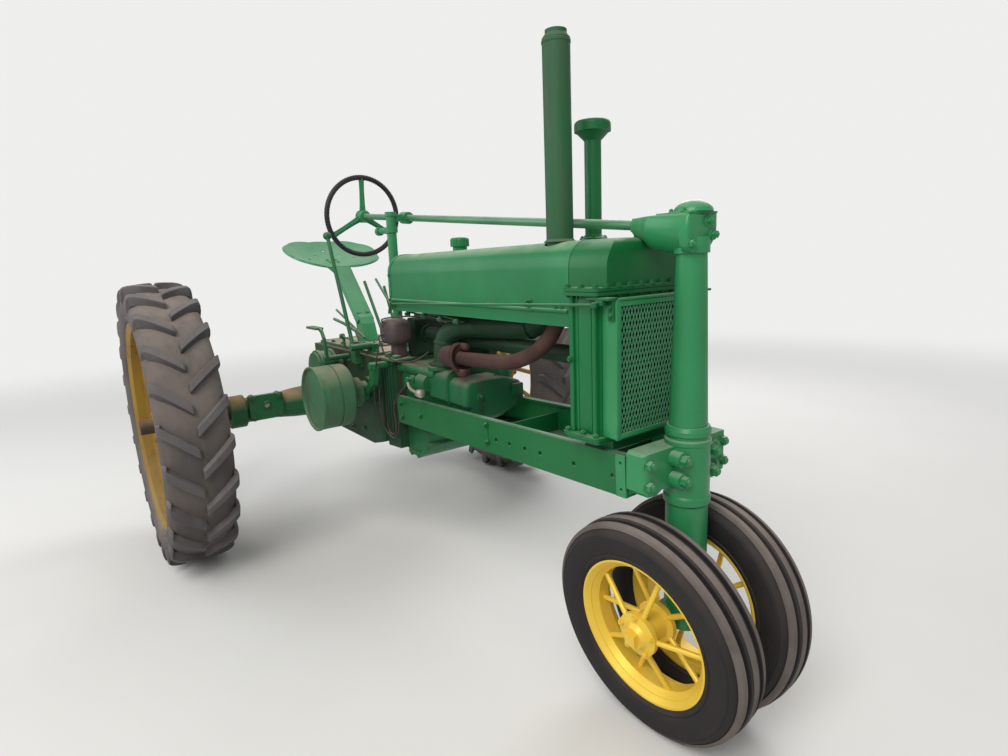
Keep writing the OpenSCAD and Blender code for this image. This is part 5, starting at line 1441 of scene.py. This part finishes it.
@dataclass
class EngineDress:
    """Cylinder block lying between the rails, with its head, end cover and oil pan."""

    x0: float = 770.0
    jacket: float = 1030.0
    x1: float = 1180.0
    head_x: float = 1290.0
    half: float = 150.0
    low: float = 124.0
    clear: float = 795.0
    top: float = 918.0

    def section(self, half: float, top: float, corner: float, inset: float = 0.0) -> list[Pair]:
        """Draws the block's section above the rails, with rounded upper corners.

        Args:
            half: Half of its width.
            top: Its upper height.
            corner: Radius of its upper corners.
            inset: Distance that its sides are drawn in.

        Returns:
            Corners as pairs of y and z.
        """
        half, top = half - inset, top - inset
        right = [(-half, self.clear + 14 + inset), (-half + 10, self.clear + 2 + inset)]
        turns = [math.pi * k / 16 for k in range(9)]
        arc = [(-half + corner - corner * math.cos(a), top - corner + corner * math.sin(a)) for a in turns]
        line = list(reversed(arc)) + right
        return line + [(-y, z) for y, z in reversed(line)]

    def head_line(self, inset: float, drop: float = 0.0) -> list[Pair]:
        """Draws the outline of the head, higher on the right than on the left.

        Args:
            inset: Distance that its sides are drawn in.
            drop: Distance that its top is lowered.

        Returns:
            Corners as pairs of y and z.
        """
        t, h = inset, self.half
        return [(40, 895 - drop), (24, 899 - drop), (30 - h, 899 - drop), (14 + t - h, 893 - drop),
                (4 + t - h, 884 - drop), (t - h, 872 - drop), (t - h, self.clear + 12 + t),
                (t - h + 8, self.clear + 3 + t), (t - self.low, self.clear + t), (t - self.low, 752 + t),
                (t - self.low + 12, 744 + t), (0, 745 + t), (self.low - 26 - t, 775 + t),
                (self.low - 2 - t, self.clear + t), (124 - t, self.clear + 8), (124 - t, 846 - drop),
                (118 - t, 856 - drop), (104 - t, 872 - drop)]

    def build(self) -> None:
        """Builds the block, the head and the cover."""
        block = Shape()
        plain, wide = self.section(self.half - 14, self.top - 8, 30), self.section(self.half, self.top, 40)
        rib, lip = self.section(self.half + 8, self.top + 7, 42), self.section(self.half + 8, self.top + 7, 42, 4)
        near = self.section(self.half, self.top, 40, 3)
        block.lofted([(self.x0, plain), (self.jacket - 22, plain), (self.jacket - 4, near), (self.jacket + 6, wide),
                      (self.x1 - 15, wide), (self.x1 - 12, lip), (self.x1 - 10, rib), (self.x1 - 3, rib),
                      (self.x1 - 0.3, lip)])
        block.plate([(self.x0 - 84, 566), (self.x0 - 84, 620), (self.x0, 640), (self.x0, self.clear + 20),
                     (self.x1 - 2, self.clear + 20), (self.x1 - 2, 708),
                     (self.x1 - 60, 684), (self.x1 - 138, 656), (self.x1 - 200, 600), (self.x1 - 262, 540),
                     (self.x1 - 300, 512), (self.x1 - 322, 506), (self.x0, 506), (self.x0 - 44, 524)],
                    -self.low, self.low, 8)
        block.plate([(self.x0 + 6, 505), (self.x0 + 6, 521), (self.x1 - 306, 521), (self.x1 - 262, 545),
                     (self.x1 - 214, 588), (self.x1 - 204, 575), (self.x1 - 252, 530), (self.x1 - 302, 502)],
                    -self.low - 9, self.low + 9, 2)
        block.turned((self.x0 + 2, 14 - self.half, self.top - 20), (1, 0, 0), [
            (0, 0), (25, 0), (25, 10), (21, 14), (21, 288), (17, 296), (0, 298)], 28)
        block.turned((self.jacket - 78, 8 - self.half, self.top - 62), (1, 0, 0), [
            (0, 0), (30, 0), (36, 5), (36, 60), (33, 74), (0, 78)], 36)
        block.turned((self.jacket + 24, -98, self.top - 2), (0, 0, 1), [
            (0, 0), (60, 0), (60, 12), (56, 15), (0, 15)], 40)
        block.piece("block_body", ENGINE, replaces=("engine_block",), sharp=36.0)
        head = Shape()
        head.lofted([(self.x1 + 0.3, self.head_line(2)), (self.head_x - 0.3, self.head_line(0))])
        head.turned((self.x1 + 80, 54, 880), (0, 0, 1), [(0, 0), (30, 0), (30, 30), (27, 44), (16, 52), (0, 54)], 32)
        head.piece("head_body", ENGINE, replaces=("cylinder_head",), sharp=34.0)
        cover = Shape()
        x = self.head_x
        cover.lofted([(x, self.head_line(0)), (x + 4, self.head_line(1, 1)), (x + 9, self.head_line(5, 4)),
                      (x + 12, self.head_line(10, 8)), (x + 13, self.head_line(17, 14))])
        cover.slab((x + 4, 60, 816), (x + 26, 110, 864), 6)
        cover.turned((x + 10, -87, 834), (1, 0, 0), [(0, 0), (17, 0), (17, 4), (14, 6), (0, 6)], 28)
        cover.piece("head_cover", ENGINE, replaces=("rocker_cover",), sharp=50.0)
        nuts = Nuts("engine_nuts", ENGINE, Stud=0.5)
        nuts.add([(x + 16, -87, 834)], (1, 0, 0), 8)
        nuts.add([(self.x1 - 10, y, self.top + 7) for y in (-90, -30, 30, 90)], (0, 0, 1), 8)
        nuts.add([(self.x0 + 26 + 60 * i, s * (self.low + 2), 505) for i in range(2) for s in (-1, 1)], (0, 0, -1), 8)
        nuts.add(circle((self.jacket + 24, -98, self.top + 13), 49, 4, 45, "xy"), (0, 0, 1), 9)
        nuts.build()


@dataclass
class WaterDress:
    """Upper water pipe from the block to the radiator, with its neck flange and hose bands."""

    neck: Point = (1066.0, -92.0, 931.0)
    radius: float = 41.0

    def build(self) -> None:
        """Builds the pipe and its bands."""
        x, y, z = self.neck
        pipe = Shape()
        line = eased([(x, y, z), (x, y, z + 58), (x + 12, y + 12, z + 116), (x + 82, y + 30, z + 150),
                      (1300, -48, 1094), (1520, -18, 1108), (1600, 0, 1142), (1650, 8, 1172), (1716, 12, 1190),
                      (1800, 12, 1193), (1912, 12, 1193)], 8)
        pipe.tube(line, self.radius, 32)
        pipe.turned((x, y, z), (0, 0, 1), [(0, 0), (58, 0), (58, 10), (54, 13), (44, 16), (42, 30), (0, 30)], 40)
        band = ((-1, 0), (3, 1), (4, 3), (4, 12), (3, 14), (-1, 15))
        for where in (11, 40, 60, 76):
            a, b = Vector(line[where]), Vector(line[where + 1])
            pipe.turned(a, (b - a), [(self.radius + out, along) for out, along in band], 40, closed=True)
        pipe.piece("water_pipe_body", UNDER_HOOD_SHADE, replaces=("water_pipe",), sharp=40.0)


@dataclass
class CarburettorDress:
    """Carburettor on the left of the block, with its bowl, throat and air elbow."""

    x: float = 1010.0
    y: float = 95.0
    z: float = 910.4

    def build(self) -> None:
        """Builds the carburettor."""
        body = Shape()
        x, y, z = self.x, self.y, self.z
        body.turned((x, y, z), (0, 0, 1), [(0, 0), (44, 0), (44, 8), (32, 12), (30, 30), (34, 40), (34, 86), (44, 92),
                                          (46, 96), (46, 108), (38, 116), (16, 120), (14, 128), (0, 129)], 40)
        body.turned((x, y, z + 60), (1, 0, 0), [(0, 0), (21, 0), (21, 72), (28, 76), (28, 92), (20, 96), (20, 130),
                                               (0, 131)], 28)
        body.tube(eased([(x + 60, y, z + 60), (x + 62, y + 34, z + 62), (x + 58, y + 60, z + 88),
                         (x + 40, y + 62, z + 130)]), 22, 20)
        body.tube([(x - 40, y - 10, z + 104), (x - 150, y - 30, z + 96), (x - 210, y - 36, z + 96)], 4, 8)
        body.piece("carburettor_body", UNDER_HOOD_SHADE, replaces=("carburettor",), sharp=36.0)


@dataclass
class ManifoldDress:
    """Rusty exhaust pipe with its flared end, clamp, studs and wide bend up into the stack."""

    clamp: Point = (1272.0, -146.0, 986.0)

    def build(self) -> None:
        """Builds the pipe, its clamp and the nuts."""
        x, y, z = self.clamp
        pipe = Shape()
        pipe.tube(eased([(x - 6, y, z), (x + 60, y + 20, z - 1), (x + 160, y + 27, z + 3), (x + 262, y + 29, z + 12),
                         (1590, -108, 1014), (1650, -98, 1042), (1698, -90, 1082), (1734, -88, 1126),
                         (1755, -88, 1165), (1764, -88, 1200)], 8), 25.5, 32)
        pipe.turned((x - 112, y, z + 3), (1, 0, -0.02), [
            (0, 0), (26, 0), (33, 4), (37, 20), (41, 50), (44, 78), (46, 96), (46, 104), (0, 105)], 48)
        pipe.tube(eased([(x - 84, y + 62, 904), (x - 84, y + 52, 940), (x - 78, y + 22, 972)]), 24, 28)
        pipe.piece("exhaust_pipe", RUST, replaces=("exhaust_manifold",), sharp=50.0)
        rings = Shape()
        for dx in (-8, 6):
            line = []
            for k in range(48):
                a = math.tau * k / 48
                line.append((x + dx - 13 * math.sin(a), y + 44 * math.cos(a), z + 51 * math.sin(a)))
            rings.tube(line, 5.5, 10, loop=True)
        for dy, dz, dx in ((-12, -50, 14), (14, 42, -2)):
            rings.turned((x + dx - 14, y + dy, z + dz), (1, 0, 0), [
                (0, 0), (10, 0), (13, 4), (14, 12), (14, 36), (12, 42), (8, 45), (0, 46)], 24)
        rings.piece("clamp_rings", RUST, sharp=50.0)
        nuts = Nuts("clamp_nuts", RUST, Stud=0.5)
        nuts.add([(x - 2, y - 12, z - 50), (x - 18, y + 14, z + 42)], (-1, 0, 0), 11)
        nuts.build()


@dataclass
class MagnetoDress:
    """Magneto across the engine, with its rounded cap, terminals and leads."""

    x: float = 757.0
    z: float = 1050.0
    wide: float = 70.0
    high: float = 56.0
    steps: int = 48

    def ring(self, y: float, size: float) -> list[Vector]:
        """Draws one rounded section.

        Args:
            y: Place of the section.
            size: Its size against the full one.

        Returns:
            The section's points.
        """
        line = []
        for k in range(self.steps):
            a = math.tau * k / self.steps
            c, s = math.cos(a), math.sin(a)
            line.append(Vector((self.x + size * self.wide * math.copysign(abs(c) ** 0.7, c), y,
                                self.z + size * self.high * math.copysign(abs(s) ** 0.7, s))))
        return line

    def build(self) -> None:
        """Builds the body, the terminals and the leads."""
        body = Shape()
        body.skin([self.ring(y, size) for y, size in (
            (-104, 0.8), (-106, 0.93), (-112, 0.98), (-134, 1.0), (-135, 0.955), (-140, 0.955), (-141, 1.0),
            (-168, 0.99), (-180, 0.95), (-188, 0.88), (-193, 0.78), (-196, 0.6), (-197, 0.4))])
        body.slab((722, -158, 936), (784, -108, 1004), 8)
        body.turned((700, -150, 1040), (-1, 0, 0), [(0, 0), (34, 0), (34, 6), (24, 10), (18, 20), (0, 21)], 28)
        for x, z in ((748, 1082), (742, 1040), (744, 1014)):
            body.turned((x, -190, z), (0, -1, 0), [(0, 0), (10, 0), (11, 3), (9, 10), (6, 12), (6, 8), (0, 8)], 20)
        body.piece("magneto_body", MAGNETO, replaces=("magneto",), sharp=44.0)
        foot = Shape()
        foot.slab((704, -196, 925.3), (816, -100, 936), 3)
        foot.slab((716, -188, 935), (744, -160, 956), 5)
        foot.slab((772, -182, 935), (806, -150, 950), 5)
        foot.piece("magneto_foot", DUSTY)
        lead = Shape()
        lead.tube(eased([(742, -198, 1040), (756, -226, 1032), (782, -230, 1004), (806, -228, 968), (850, -216, 944),
                         (900, -196, 936), (960, -170, 946), (1010, -150, 972), (1026, -140, 985)]), 3.4, 8)
        lead.tube(eased([(744, -198, 1014), (752, -222, 1004), (746, -236, 950), (730, -244, 870), (712, -246, 790),
                         (698, -240, 730), (694, -226, 690)]), 3.0, 8)
        lead.tube(eased([(746, -196, 1090), (770, -210, 1108), (820, -180, 1118), (900, -150, 1122),
                         (1000, -140, 1126), (1100, -142, 1124), (1180, -140, 1112)]), 3.2, 8)
        lead.piece("magneto_leads", WIRE, sharp=60.0)


@dataclass
class RailDress(Sided):
    """Channel rail with its row of holes, bracket strip and end strip."""

    x1: float = 2099.0
    top: float = 818.0
    fall: float = 2.1
    rear: float = -1329.0
    half: float = 170.0
    flange: float = 42.0
    deep: float = 118.0
    thick: float = 9.0
    hole_z: float = -66.0
    hole_x: tuple[float, ...] = (-594, -518, -437, -360, -207, -54)

    def frame(self) -> Matrix:
        """Finds the rail's own place, with its front top edge at zero.

        Returns:
            The move in millimetres from the rear axle.
        """
        return Matrix.Translation((self.x1, 0, self.top)) @ Matrix.Rotation(math.radians(-self.fall), 4, "Y")

    def build(self) -> None:
        """Builds the rail and its bolts."""
        s = self.side
        rail = Shape()
        low, high = span(s, self.half - self.thick, self.half)
        holes = [(x, self.hole_z, 8) for x in self.hole_x] + [(-30, z, 6) for z in (-94, -22)]
        rail.pierced([(self.rear, -self.deep), (-5, -self.deep), (-5, 0), (self.rear, 0)], holes, low, high)
        inner, outer = span(s, self.half - self.flange, self.half - 0.2)
        for z in (-self.deep, -self.thick):
            near, far = (inner, outer) if z < -self.thick else span(s, self.half - 26, self.half - 0.2)
            rail.slab((self.rear, near, z), (-5, far, z + self.thick), 2.0)
        a, b = span(s, self.half - 1, self.half + 2.2)
        rail.slab((-652, a, -92), (-640, b, -12), 1.0)
        rail.moved(self.frame())
        rail.piece(f"rail_{self.word}", SHEET, replaces=(f"frame_rail_{self.word}",), sharp=30.0)
        end = Shape()
        a, b = span(s, self.half - 1, self.half + 5)
        strip = [(-38, -self.deep + 1), (-4, -self.deep + 1), (-4, -1), (-38, -1)]
        end.pierced(strip, [(-20, -22, 5), (-20, -96, 5)], a, b)
        end.moved(self.frame())
        end.piece(f"rail_end_{self.word}", COLUMN)
        nuts = Nuts(f"rail_nuts_{self.word}", SHEET, Stud=0.5)
        nuts.add([(-646, s * (self.half + 2), z) for z in (-20, -82)], (0, s, 0), 9, self.frame())
        nuts.add([(x, s * self.half, z) for x, z in ((-1120, -60), (-1290, -30), (-1290, -92))], (0, s, 0), 9,
                 self.frame())
        nuts.build()


@dataclass
class TrayDress:
    """Open tray between the rails under the fan."""

    rear: float = -646.0
    front: float = -196.0
    half: float = 160.5
    floor: float = -104.0

    def build(self) -> None:
        """Builds the tray."""
        tray = Shape()
        tray.slab((self.rear, -self.half, self.floor - 4), (self.front, self.half, self.floor), 1.0)
        tray.slab((self.rear, -self.half, self.floor - 4), (self.rear + 4, self.half, -34), 1.0)
        tray.slab((self.front - 4, -self.half, self.floor - 4), (self.front, self.half, -60), 1.0)
        for s in (RIGHT, LEFT):
            low, high = span(s, self.half - 3, self.half)
            tray.slab((self.rear, low, self.floor - 4), (self.front, high, -11), 1.0)
        tray.moved(RailDress(1).frame())
        tray.piece("tray_body", RADIATOR, replaces=("cross_tray",), sharp=30.0)


@dataclass
class CaseDress:
    """Bolts, drain cock and looping lines of the main case."""

    half: float = 190.0
    cover_top: float = 939.0

    def build(self) -> None:
        """Builds the case's small parts."""
        nuts = Nuts("case_nuts", CAST, Stud=0.45)
        nuts.add([(x, y, self.cover_top) for x in (-118, 20, 150, 280, 420, 556) for y in (-148, 148)], (0, 0, 1), 10)
        nuts.add([(-118, y, self.cover_top) for y in (-50, 50)], (0, 0, 1), 10)
        nuts.add([(x, y, self.cover_top + 8) for y in (-48, 88) for x in (310, 400)], (0, 0, 1), 7)
        for s in (RIGHT, LEFT):
            nuts.add([(x, s * self.half, z) for x, z in ((-120, 560), (-120, 800), (60, 880), (330, 880), (440, 560),
                                                         (300, 540), (470, 880))], (0, s, 0), 9)
            nuts.add(circle((0, s * (self.half + 21), 648), 108, 10, 18, "xz"), (0, s, 0), 10)
            nuts.add(circle((190, s * (self.half + 118), 830), 84, 6, 0, "xz"), (0, s, 0), 8)
        nuts.build()
        cock = Shape()
        cock.turned((936, -165, 866), (0, -1, 0), [
            (0, 0), (15, 1), (17, 6), (17, 14), (12, 18), (8, 19), (8, 30), (13, 31), (13, 38), (0, 40)], 24)
        cock.piece("drain_boss", CAST, sharp=40.0)
        tap = Shape()
        tap.tube(eased([(938, -196, 860), (958, -204, 846), (985, -207, 834), (1030, -206, 828)]), 6.5, 10)
        tap.turned((1030, -206, 828), (1, 0, 0.05), [(0, 0), (11, 0), (15, 6), (15, 18), (17, 20), (17, 34), (10, 40),
                                                    (0, 41)], 20)
        tap.piece("drain_cock", BARE, sharp=40.0)
        lines = Shape()
        lines.tube(eased([(944, -200, 852), (900, -216, 812), (862, -222, 770), (850, -226, 730), (852, -222, 690),
                          (838, -214, 640), (806, -212, 610), (770, -214, 612), (748, -212, 650)]), 4, 8)
        lines.tube(eased([(700, -212, 840), (716, -226, 760), (724, -228, 690), (742, -224, 630), (772, -218, 600),
                          (812, -214, 596), (846, -212, 628), (850, -210, 668)]), 3.4, 8)
        lines.piece("oil_lines", WIRE, sharp=60.0)


@dataclass
class FrontDress:
    """Nuts of the front casting and the gear case."""

    column_x: float = 2163.0

    def build(self) -> None:
        """Builds the nuts."""
        nuts = Nuts("casting_nuts", COLUMN, Stud=0.6, Head_Height=1.1)
        for s in (RIGHT, LEFT):
            nuts.add([(self.column_x + 33, s * 64, z) for z in (748, 806)], (1, 0, 0), 15)
            nuts.add([(self.column_x - 4, s * 158, z) for z in (748, 806)], (1, 0, 0), 14)
            nuts.add([(self.column_x - 4, s * 118, z) for z in (748, 806) if s > 0], (1, 0, 0), 13)
        nuts.build()
        small = Nuts("gear_case_nuts", COLUMN, Stud=0.55, Head_Height=0.9)
        small.add([(self.column_x + 39, 14, 1414), (self.column_x + 39, 34, 1380), (self.column_x + 33, -50, 1358)],
                  (1, 0, 0), 10)
        small.add([(self.column_x - 30, -46, 1438), (self.column_x + 10, -50, 1438)], (0, 0, 1), 6)
        small.build()


@dataclass
class GearCaseDress:
    """Steering gear case: a full barrel along the shaft, a front cover, a lid and its dome."""

    column_x: float = 2163.0
    shaft_z: float = 1400.0
    rise: float = 5.1
    lid_z: float = 1438.0
    column_z: float = 1336.0

    def cover_line(self, inset: float) -> list[Pair]:
        """Draws the front cover's outline.

        Args:
            inset: Distance that it is drawn in.

        Returns:
            Corners as pairs of y and z.
        """
        line = [(-50, 37), (54, 37), (58, 33), (58, -18), (50, -32), (26, -58), (14, -64), (-30, -66), (-52, -58),
                (-62, -44), (-66, -10), (-62, 20), (-56, 32)]
        return [(y * (1 - inset / 60), self.shaft_z - 8 + (z + 8) * (1 - inset / 52)) for y, z in line]

    def build(self) -> None:
        """Builds the case."""
        case = Shape()
        case.turned((0, 0, -22), (0, 0, -1), [
            (16.5, -206), (24, -206), (29, -200), (33, -188), (40, -170), (45, -158), (52, -146), (60, -134),
            (65, -120), (67, -104), (67, -60), (67, -12), (64, 4), (16.5, 4)], 64, closed=True)
        case.moved(Matrix.Translation((self.column_x, 0, self.shaft_z))
                   @ Matrix.Rotation(math.radians(self.rise - 90), 4, "Y"))
        for v in case.bm.verts:
            v.co.z = min(v.co.z, self.lid_z - 4)
        case.turned((self.column_x, 0, self.column_z), (0, 0, 1), [(0, 0), (45, 0), (45, 40), (0, 41)], 56)
        case.lofted([(self.column_x + 9, self.cover_line(0)), (self.column_x + 26, self.cover_line(0)),
                     (self.column_x + 31, self.cover_line(2)), (self.column_x + 34, self.cover_line(6)),
                     (self.column_x + 35, self.cover_line(12))])
        case.slab((self.column_x - 70, -56, self.lid_z - 6), (self.column_x + 36, 54, self.lid_z), 2)
        case.turned((self.column_x + 2, 0, self.lid_z - 1), (0, 0, 1), [
            (0, 0), (49, 0), (48, 6), (45, 12), (38, 19), (28, 25.5), (14, 29), (0, 30)], 56)
        for y, z in ((14, 1414), (34, 1380)):
            case.turned((self.column_x + 30, y, z), (1, 0, 0), [(0, 0), (14, 0), (14, 7), (12, 9), (0, 9)], 24)
        case.piece("gear_case_body", COLUMN, replaces=("steering_gear_case",), sharp=38.0)


@dataclass
class StackDress:
    """Rings of the exhaust stack and foot bolts of the intake."""

    exhaust: Pair = (1764.0, -88.0)
    intake: Pair = (1736.0, 80.0)

    def build(self) -> None:
        """Builds the rings and the bolts."""
        ring = Shape()
        x, y = self.exhaust
        ring.turned((x, y, 1382), (0, 0, 1), [(40.3, 0), (47, 0), (48, 2), (44, 5), (40.3, 9)], 48, closed=True)
        ring.turned((x, y, 1922), (0, 0, 1), [(40.2, 0), (41.6, 2), (41.6, 8), (40.2, 10)], 48, closed=True)
        ring.piece("stack_rings", STACK)
        x, y = self.intake
        nuts = Nuts("intake_bolts", HOOD, Stud=0.4)
        nuts.add(circle((x, y, 1393), 35, 4, 45, "xy"), (0, 0, 1), 6)
        nuts.build()


@dataclass
class UnderHoodDress:
    """Bracket and throttle rods under the hood."""

    z: float = 1136.0

    def build(self) -> None:
        """Builds the rods and the bracket."""
        plate = Shape()
        plate.plate([(792, 1088), (1046, 1096), (1046, 1172), (792, 1172)], 40, 48, 2)
        plate.slab((840, -96, 1108), (1010, 40, 1124), 3)
        plate.piece("hood_bracket", UNDER_HOOD_SHADE)
        rods = Shape()
        rods.tube(eased([(862, -128, self.z), (960, -130, self.z - 4), (1120, -132, self.z - 2),
                         (1240, -130, self.z - 12)]), 4, 8)
        rods.tube(eased([(1010, -118, self.z - 12), (1120, -116, self.z - 22), (1250, -110, self.z - 20)]), 3, 8)
        for x, z in ((1004, 1128), (1130, 1122), (1246, 1120), (870, 1130)):
            rods.turned((x, -132, z), (0, -1, 0), [(0, 0), (11, 1), (12, 4), (12, 10), (8, 14), (6, 20), (0, 21)], 18)
        rods.piece("throttle_rods", DUSTY, sharp=40.0)


@dataclass
class LeverDress:
    """Rods and pins about the platform in front of the seat."""

    cover_top: float = 939.0

    def build(self) -> None:
        """Builds the linkage."""
        foot = self.cover_top + 1
        rods = Shape()
        rods.tube(eased([(520, -176, 972), (430, -180, 976), (330, -182, 984), (240, -184, 992)]), 5, 10)
        rods.turned((520, -166, 972), (0, -1, 0), [(0, 0), (15, 1), (16, 4), (16, 16), (14, 20), (0, 21)], 24)
        rods.turned((240, -172, 992), (0, -1, 0), [(0, 0), (12, 1), (13, 4), (13, 18), (11, 22), (0, 23)], 24)
        rods.tube(eased([(610, 60, 985), (500, 40, 1010), (420, 22, 990), (372, 10, 960)]), 4, 10)
        rods.plate([(228, foot), (252, foot), (250, 998), (230, 998)], -180, -172, 1.0)
        rods.plate([(508, foot), (532, foot), (530, 980), (510, 980)], -174, -166, 1.0)
        rods.piece("platform_links", CAST, sharp=40.0)


@dataclass
class Studio:
    """Pale floor, soft lights and the photograph's camera."""

    SKY: ClassVar[tuple[float, float, float, float]] = (0.86, 0.86, 0.85, 1.0)
    place: Point = (2.225971, -1.322904, 1.342740)
    right: Point = (0.599796, 0.799187, -0.039318)
    up: Point = (-0.133053, 0.148070, 0.979986)
    ahead: Point = (-0.789013, 0.582560, -0.195146)
    lens: float = 21.53

    def floor(self) -> None:
        """Lays a wide floor that melts into the sky far from the tractor."""
        made = bmesh.new()
        corners = ((-60.0, -60.0), (60.0, -60.0), (60.0, 60.0), (-60.0, 60.0))
        made.faces.new([made.verts.new((x, y, 0.0)) for x, y in corners])
        mesh = bpy.data.meshes.new("studio_floor")
        made.to_mesh(mesh)
        material = FLOOR.material()
        n = Nodes(material.node_tree)
        out = next(node for node in material.node_tree.nodes if node.type == "OUTPUT_MATERIAL")
        lit = out.inputs["Surface"].links[0].from_socket
        where = n.add("ShaderNodeTexCoord")
        far = n.add("ShaderNodeVectorMath", operation="LENGTH")
        n.link(where.outputs["Object"], far.inputs[0])
        path = n.add("ShaderNodeLightPath")
        seen = n.math("MULTIPLY", n.ramp(far.outputs["Value"], 2.6, 9.0), path.outputs["Is Camera Ray"])
        glow = n.add("ShaderNodeEmission")
        glow.inputs["Color"].default_value = self.SKY
        both = n.add("ShaderNodeMixShader")
        n.link(seen, both.inputs[0])
        n.link(lit, both.inputs[1])
        n.link(glow.outputs[0], both.inputs[2])
        n.link(both.outputs[0], out.inputs["Surface"])
        mesh.materials.append(material)
        put("studio_floor", mesh)

    def light(self, name: str, place: Point, power: float, size: float, tint: Colour = (1.0, 1.0, 1.0)) -> None:
        """Hangs a soft light that looks at the tractor.

        Args:
            name: Name of the light.
            place: Where it hangs, in metres.
            power: Its power, in watts.
            size: Side of its square, in metres.
            tint: Its colour.
        """
        lamp = bpy.data.lights.new(name, "AREA")
        lamp.energy = power
        lamp.size = size
        lamp.color = tint
        holder = put(name, lamp)
        holder.location = place
        holder.rotation_euler = (Vector((0.1, 0.0, 0.8)) - Vector(place)).to_track_quat("-Z", "Y").to_euler()

    def world(self) -> None:
        """Sets a pale sky that only the camera sees as near white."""
        world = bpy.data.worlds.new("studio")
        bpy.context.scene.world = world
        world.use_nodes = True
        world.node_tree.nodes.clear()
        n = Nodes(world.node_tree)
        out = n.add("ShaderNodeOutputWorld")
        seen = n.add("ShaderNodeBackground")
        seen.inputs["Color"].default_value = self.SKY
        lit = n.add("ShaderNodeBackground")
        lit.inputs["Color"].default_value = (0.84, 0.85, 0.86, 1.0)
        lit.inputs["Strength"].default_value = 0.62
        path = n.add("ShaderNodeLightPath")
        both = n.add("ShaderNodeMixShader")
        n.link(path.outputs["Is Camera Ray"], both.inputs[0])
        n.link(lit.outputs[0], both.inputs[1])
        n.link(seen.outputs[0], both.inputs[2])
        n.link(both.outputs[0], out.inputs[0])

    def camera(self) -> None:
        """Sets the camera to the photograph's view."""
        cam = bpy.data.cameras.new("photo_view")
        cam.sensor_fit = "HORIZONTAL"
        cam.sensor_width = 36.0
        cam.lens = self.lens
        cam.clip_start = 0.05
        holder = put("photo_view", cam)
        r, u, a = Vector(self.right), Vector(self.up), Vector(self.ahead)
        turn = Matrix((r, u, -a)).transposed().to_4x4()
        holder.matrix_world = Matrix.Translation(self.place) @ turn
        bpy.context.scene.camera = holder

    def build(self) -> None:
        """Sets the floor, the lights, the sky and the camera."""
        self.floor()
        self.world()
        self.light("key", (2.6, -3.6, 4.6), 215.0, 3.2, (1.0, 0.98, 0.94))
        self.light("fill", (-3.2, -3.8, 3.0), 80.0, 3.5, (0.95, 0.98, 1.0))
        self.light("back", (-1.5, 4.0, 4.0), 130.0, 3.0)
        self.camera()
        bpy.context.scene.view_settings.view_transform = "Standard"


class Painter:
    """Gives each carried-over node of the frame its finish."""

    PLAN: ClassVar[dict[Finish, str]] = {
        AXLE: "axle_housing_right axle_housing_left", OLD_AXLE: "rear_axle_right rear_axle_left",
        SHEET: "intake_stack radiator_top_tank fuel_tank frame_rail_right frame_rail_left",
        ENGINE: "engine_block cylinder_head rocker_cover carburettor water_pipe",
        COLUMN: "front_casting front_column steering_gear_case front_fork steering_post",
        HOOD: "hood filler_caps", RADIATOR: "radiator cross_tray", CORE: "radiator_core",
        SEAT: "seat_support seat", UNDER_HOOD_SHADE: "governor_case fan_shaft_tube", PULLEY: "belt_pulley",
        YELLOW: "front_wheel_right front_wheel_left", SHADED_REAR_YELLOW: "rear_wheel_right rear_wheel_left",
        DUSTY: "case_cover", GRIME: "main_case", MAGNETO: "magneto", RUST: "exhaust_manifold",
        STACK: "exhaust_stack", FAN: "fan", SUNLIT_SHAFT: "steering_shaft",
    }

    def paint(self) -> None:
        """Paints every node, green casting where the plan says nothing else."""
        plan = {name: finish for finish, names in self.PLAN.items() for name in names.split()}
        for name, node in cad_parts.items():
            material = plan.get(name, CAST).material()
            if not node.material_slots:
                node.data.materials.append(material)
            for slot in node.material_slots:
                slot.material = material
        LOG.info("%d nodes painted", len(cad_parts))


def main() -> None:
    """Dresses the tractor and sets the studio."""
    logging.basicConfig(level=logging.INFO, format="%(name)s: %(message)s")
    Painter().paint()
    for side in (RIGHT, LEFT):
        RearTyre(side).build()
        FrontTyre(side).build()
        RearWheelDress(side).build()
        AxleDress(side).build()
        RailDress(side).build()
    for part in (EngineDress(), WaterDress(), CarburettorDress(), ManifoldDress(), MagnetoDress(), TrayDress(),
                 SteeringWheelDress(), SeatDress(), ScreenDress(), RadiatorDress(), HoodDress(), CaseDress(),
                 FrontDress(), GearCaseDress(), StackDress(), UnderHoodDress(), LeverDress()):
        part.build()
    Studio().build()


if __name__ == "__main__":
    main()
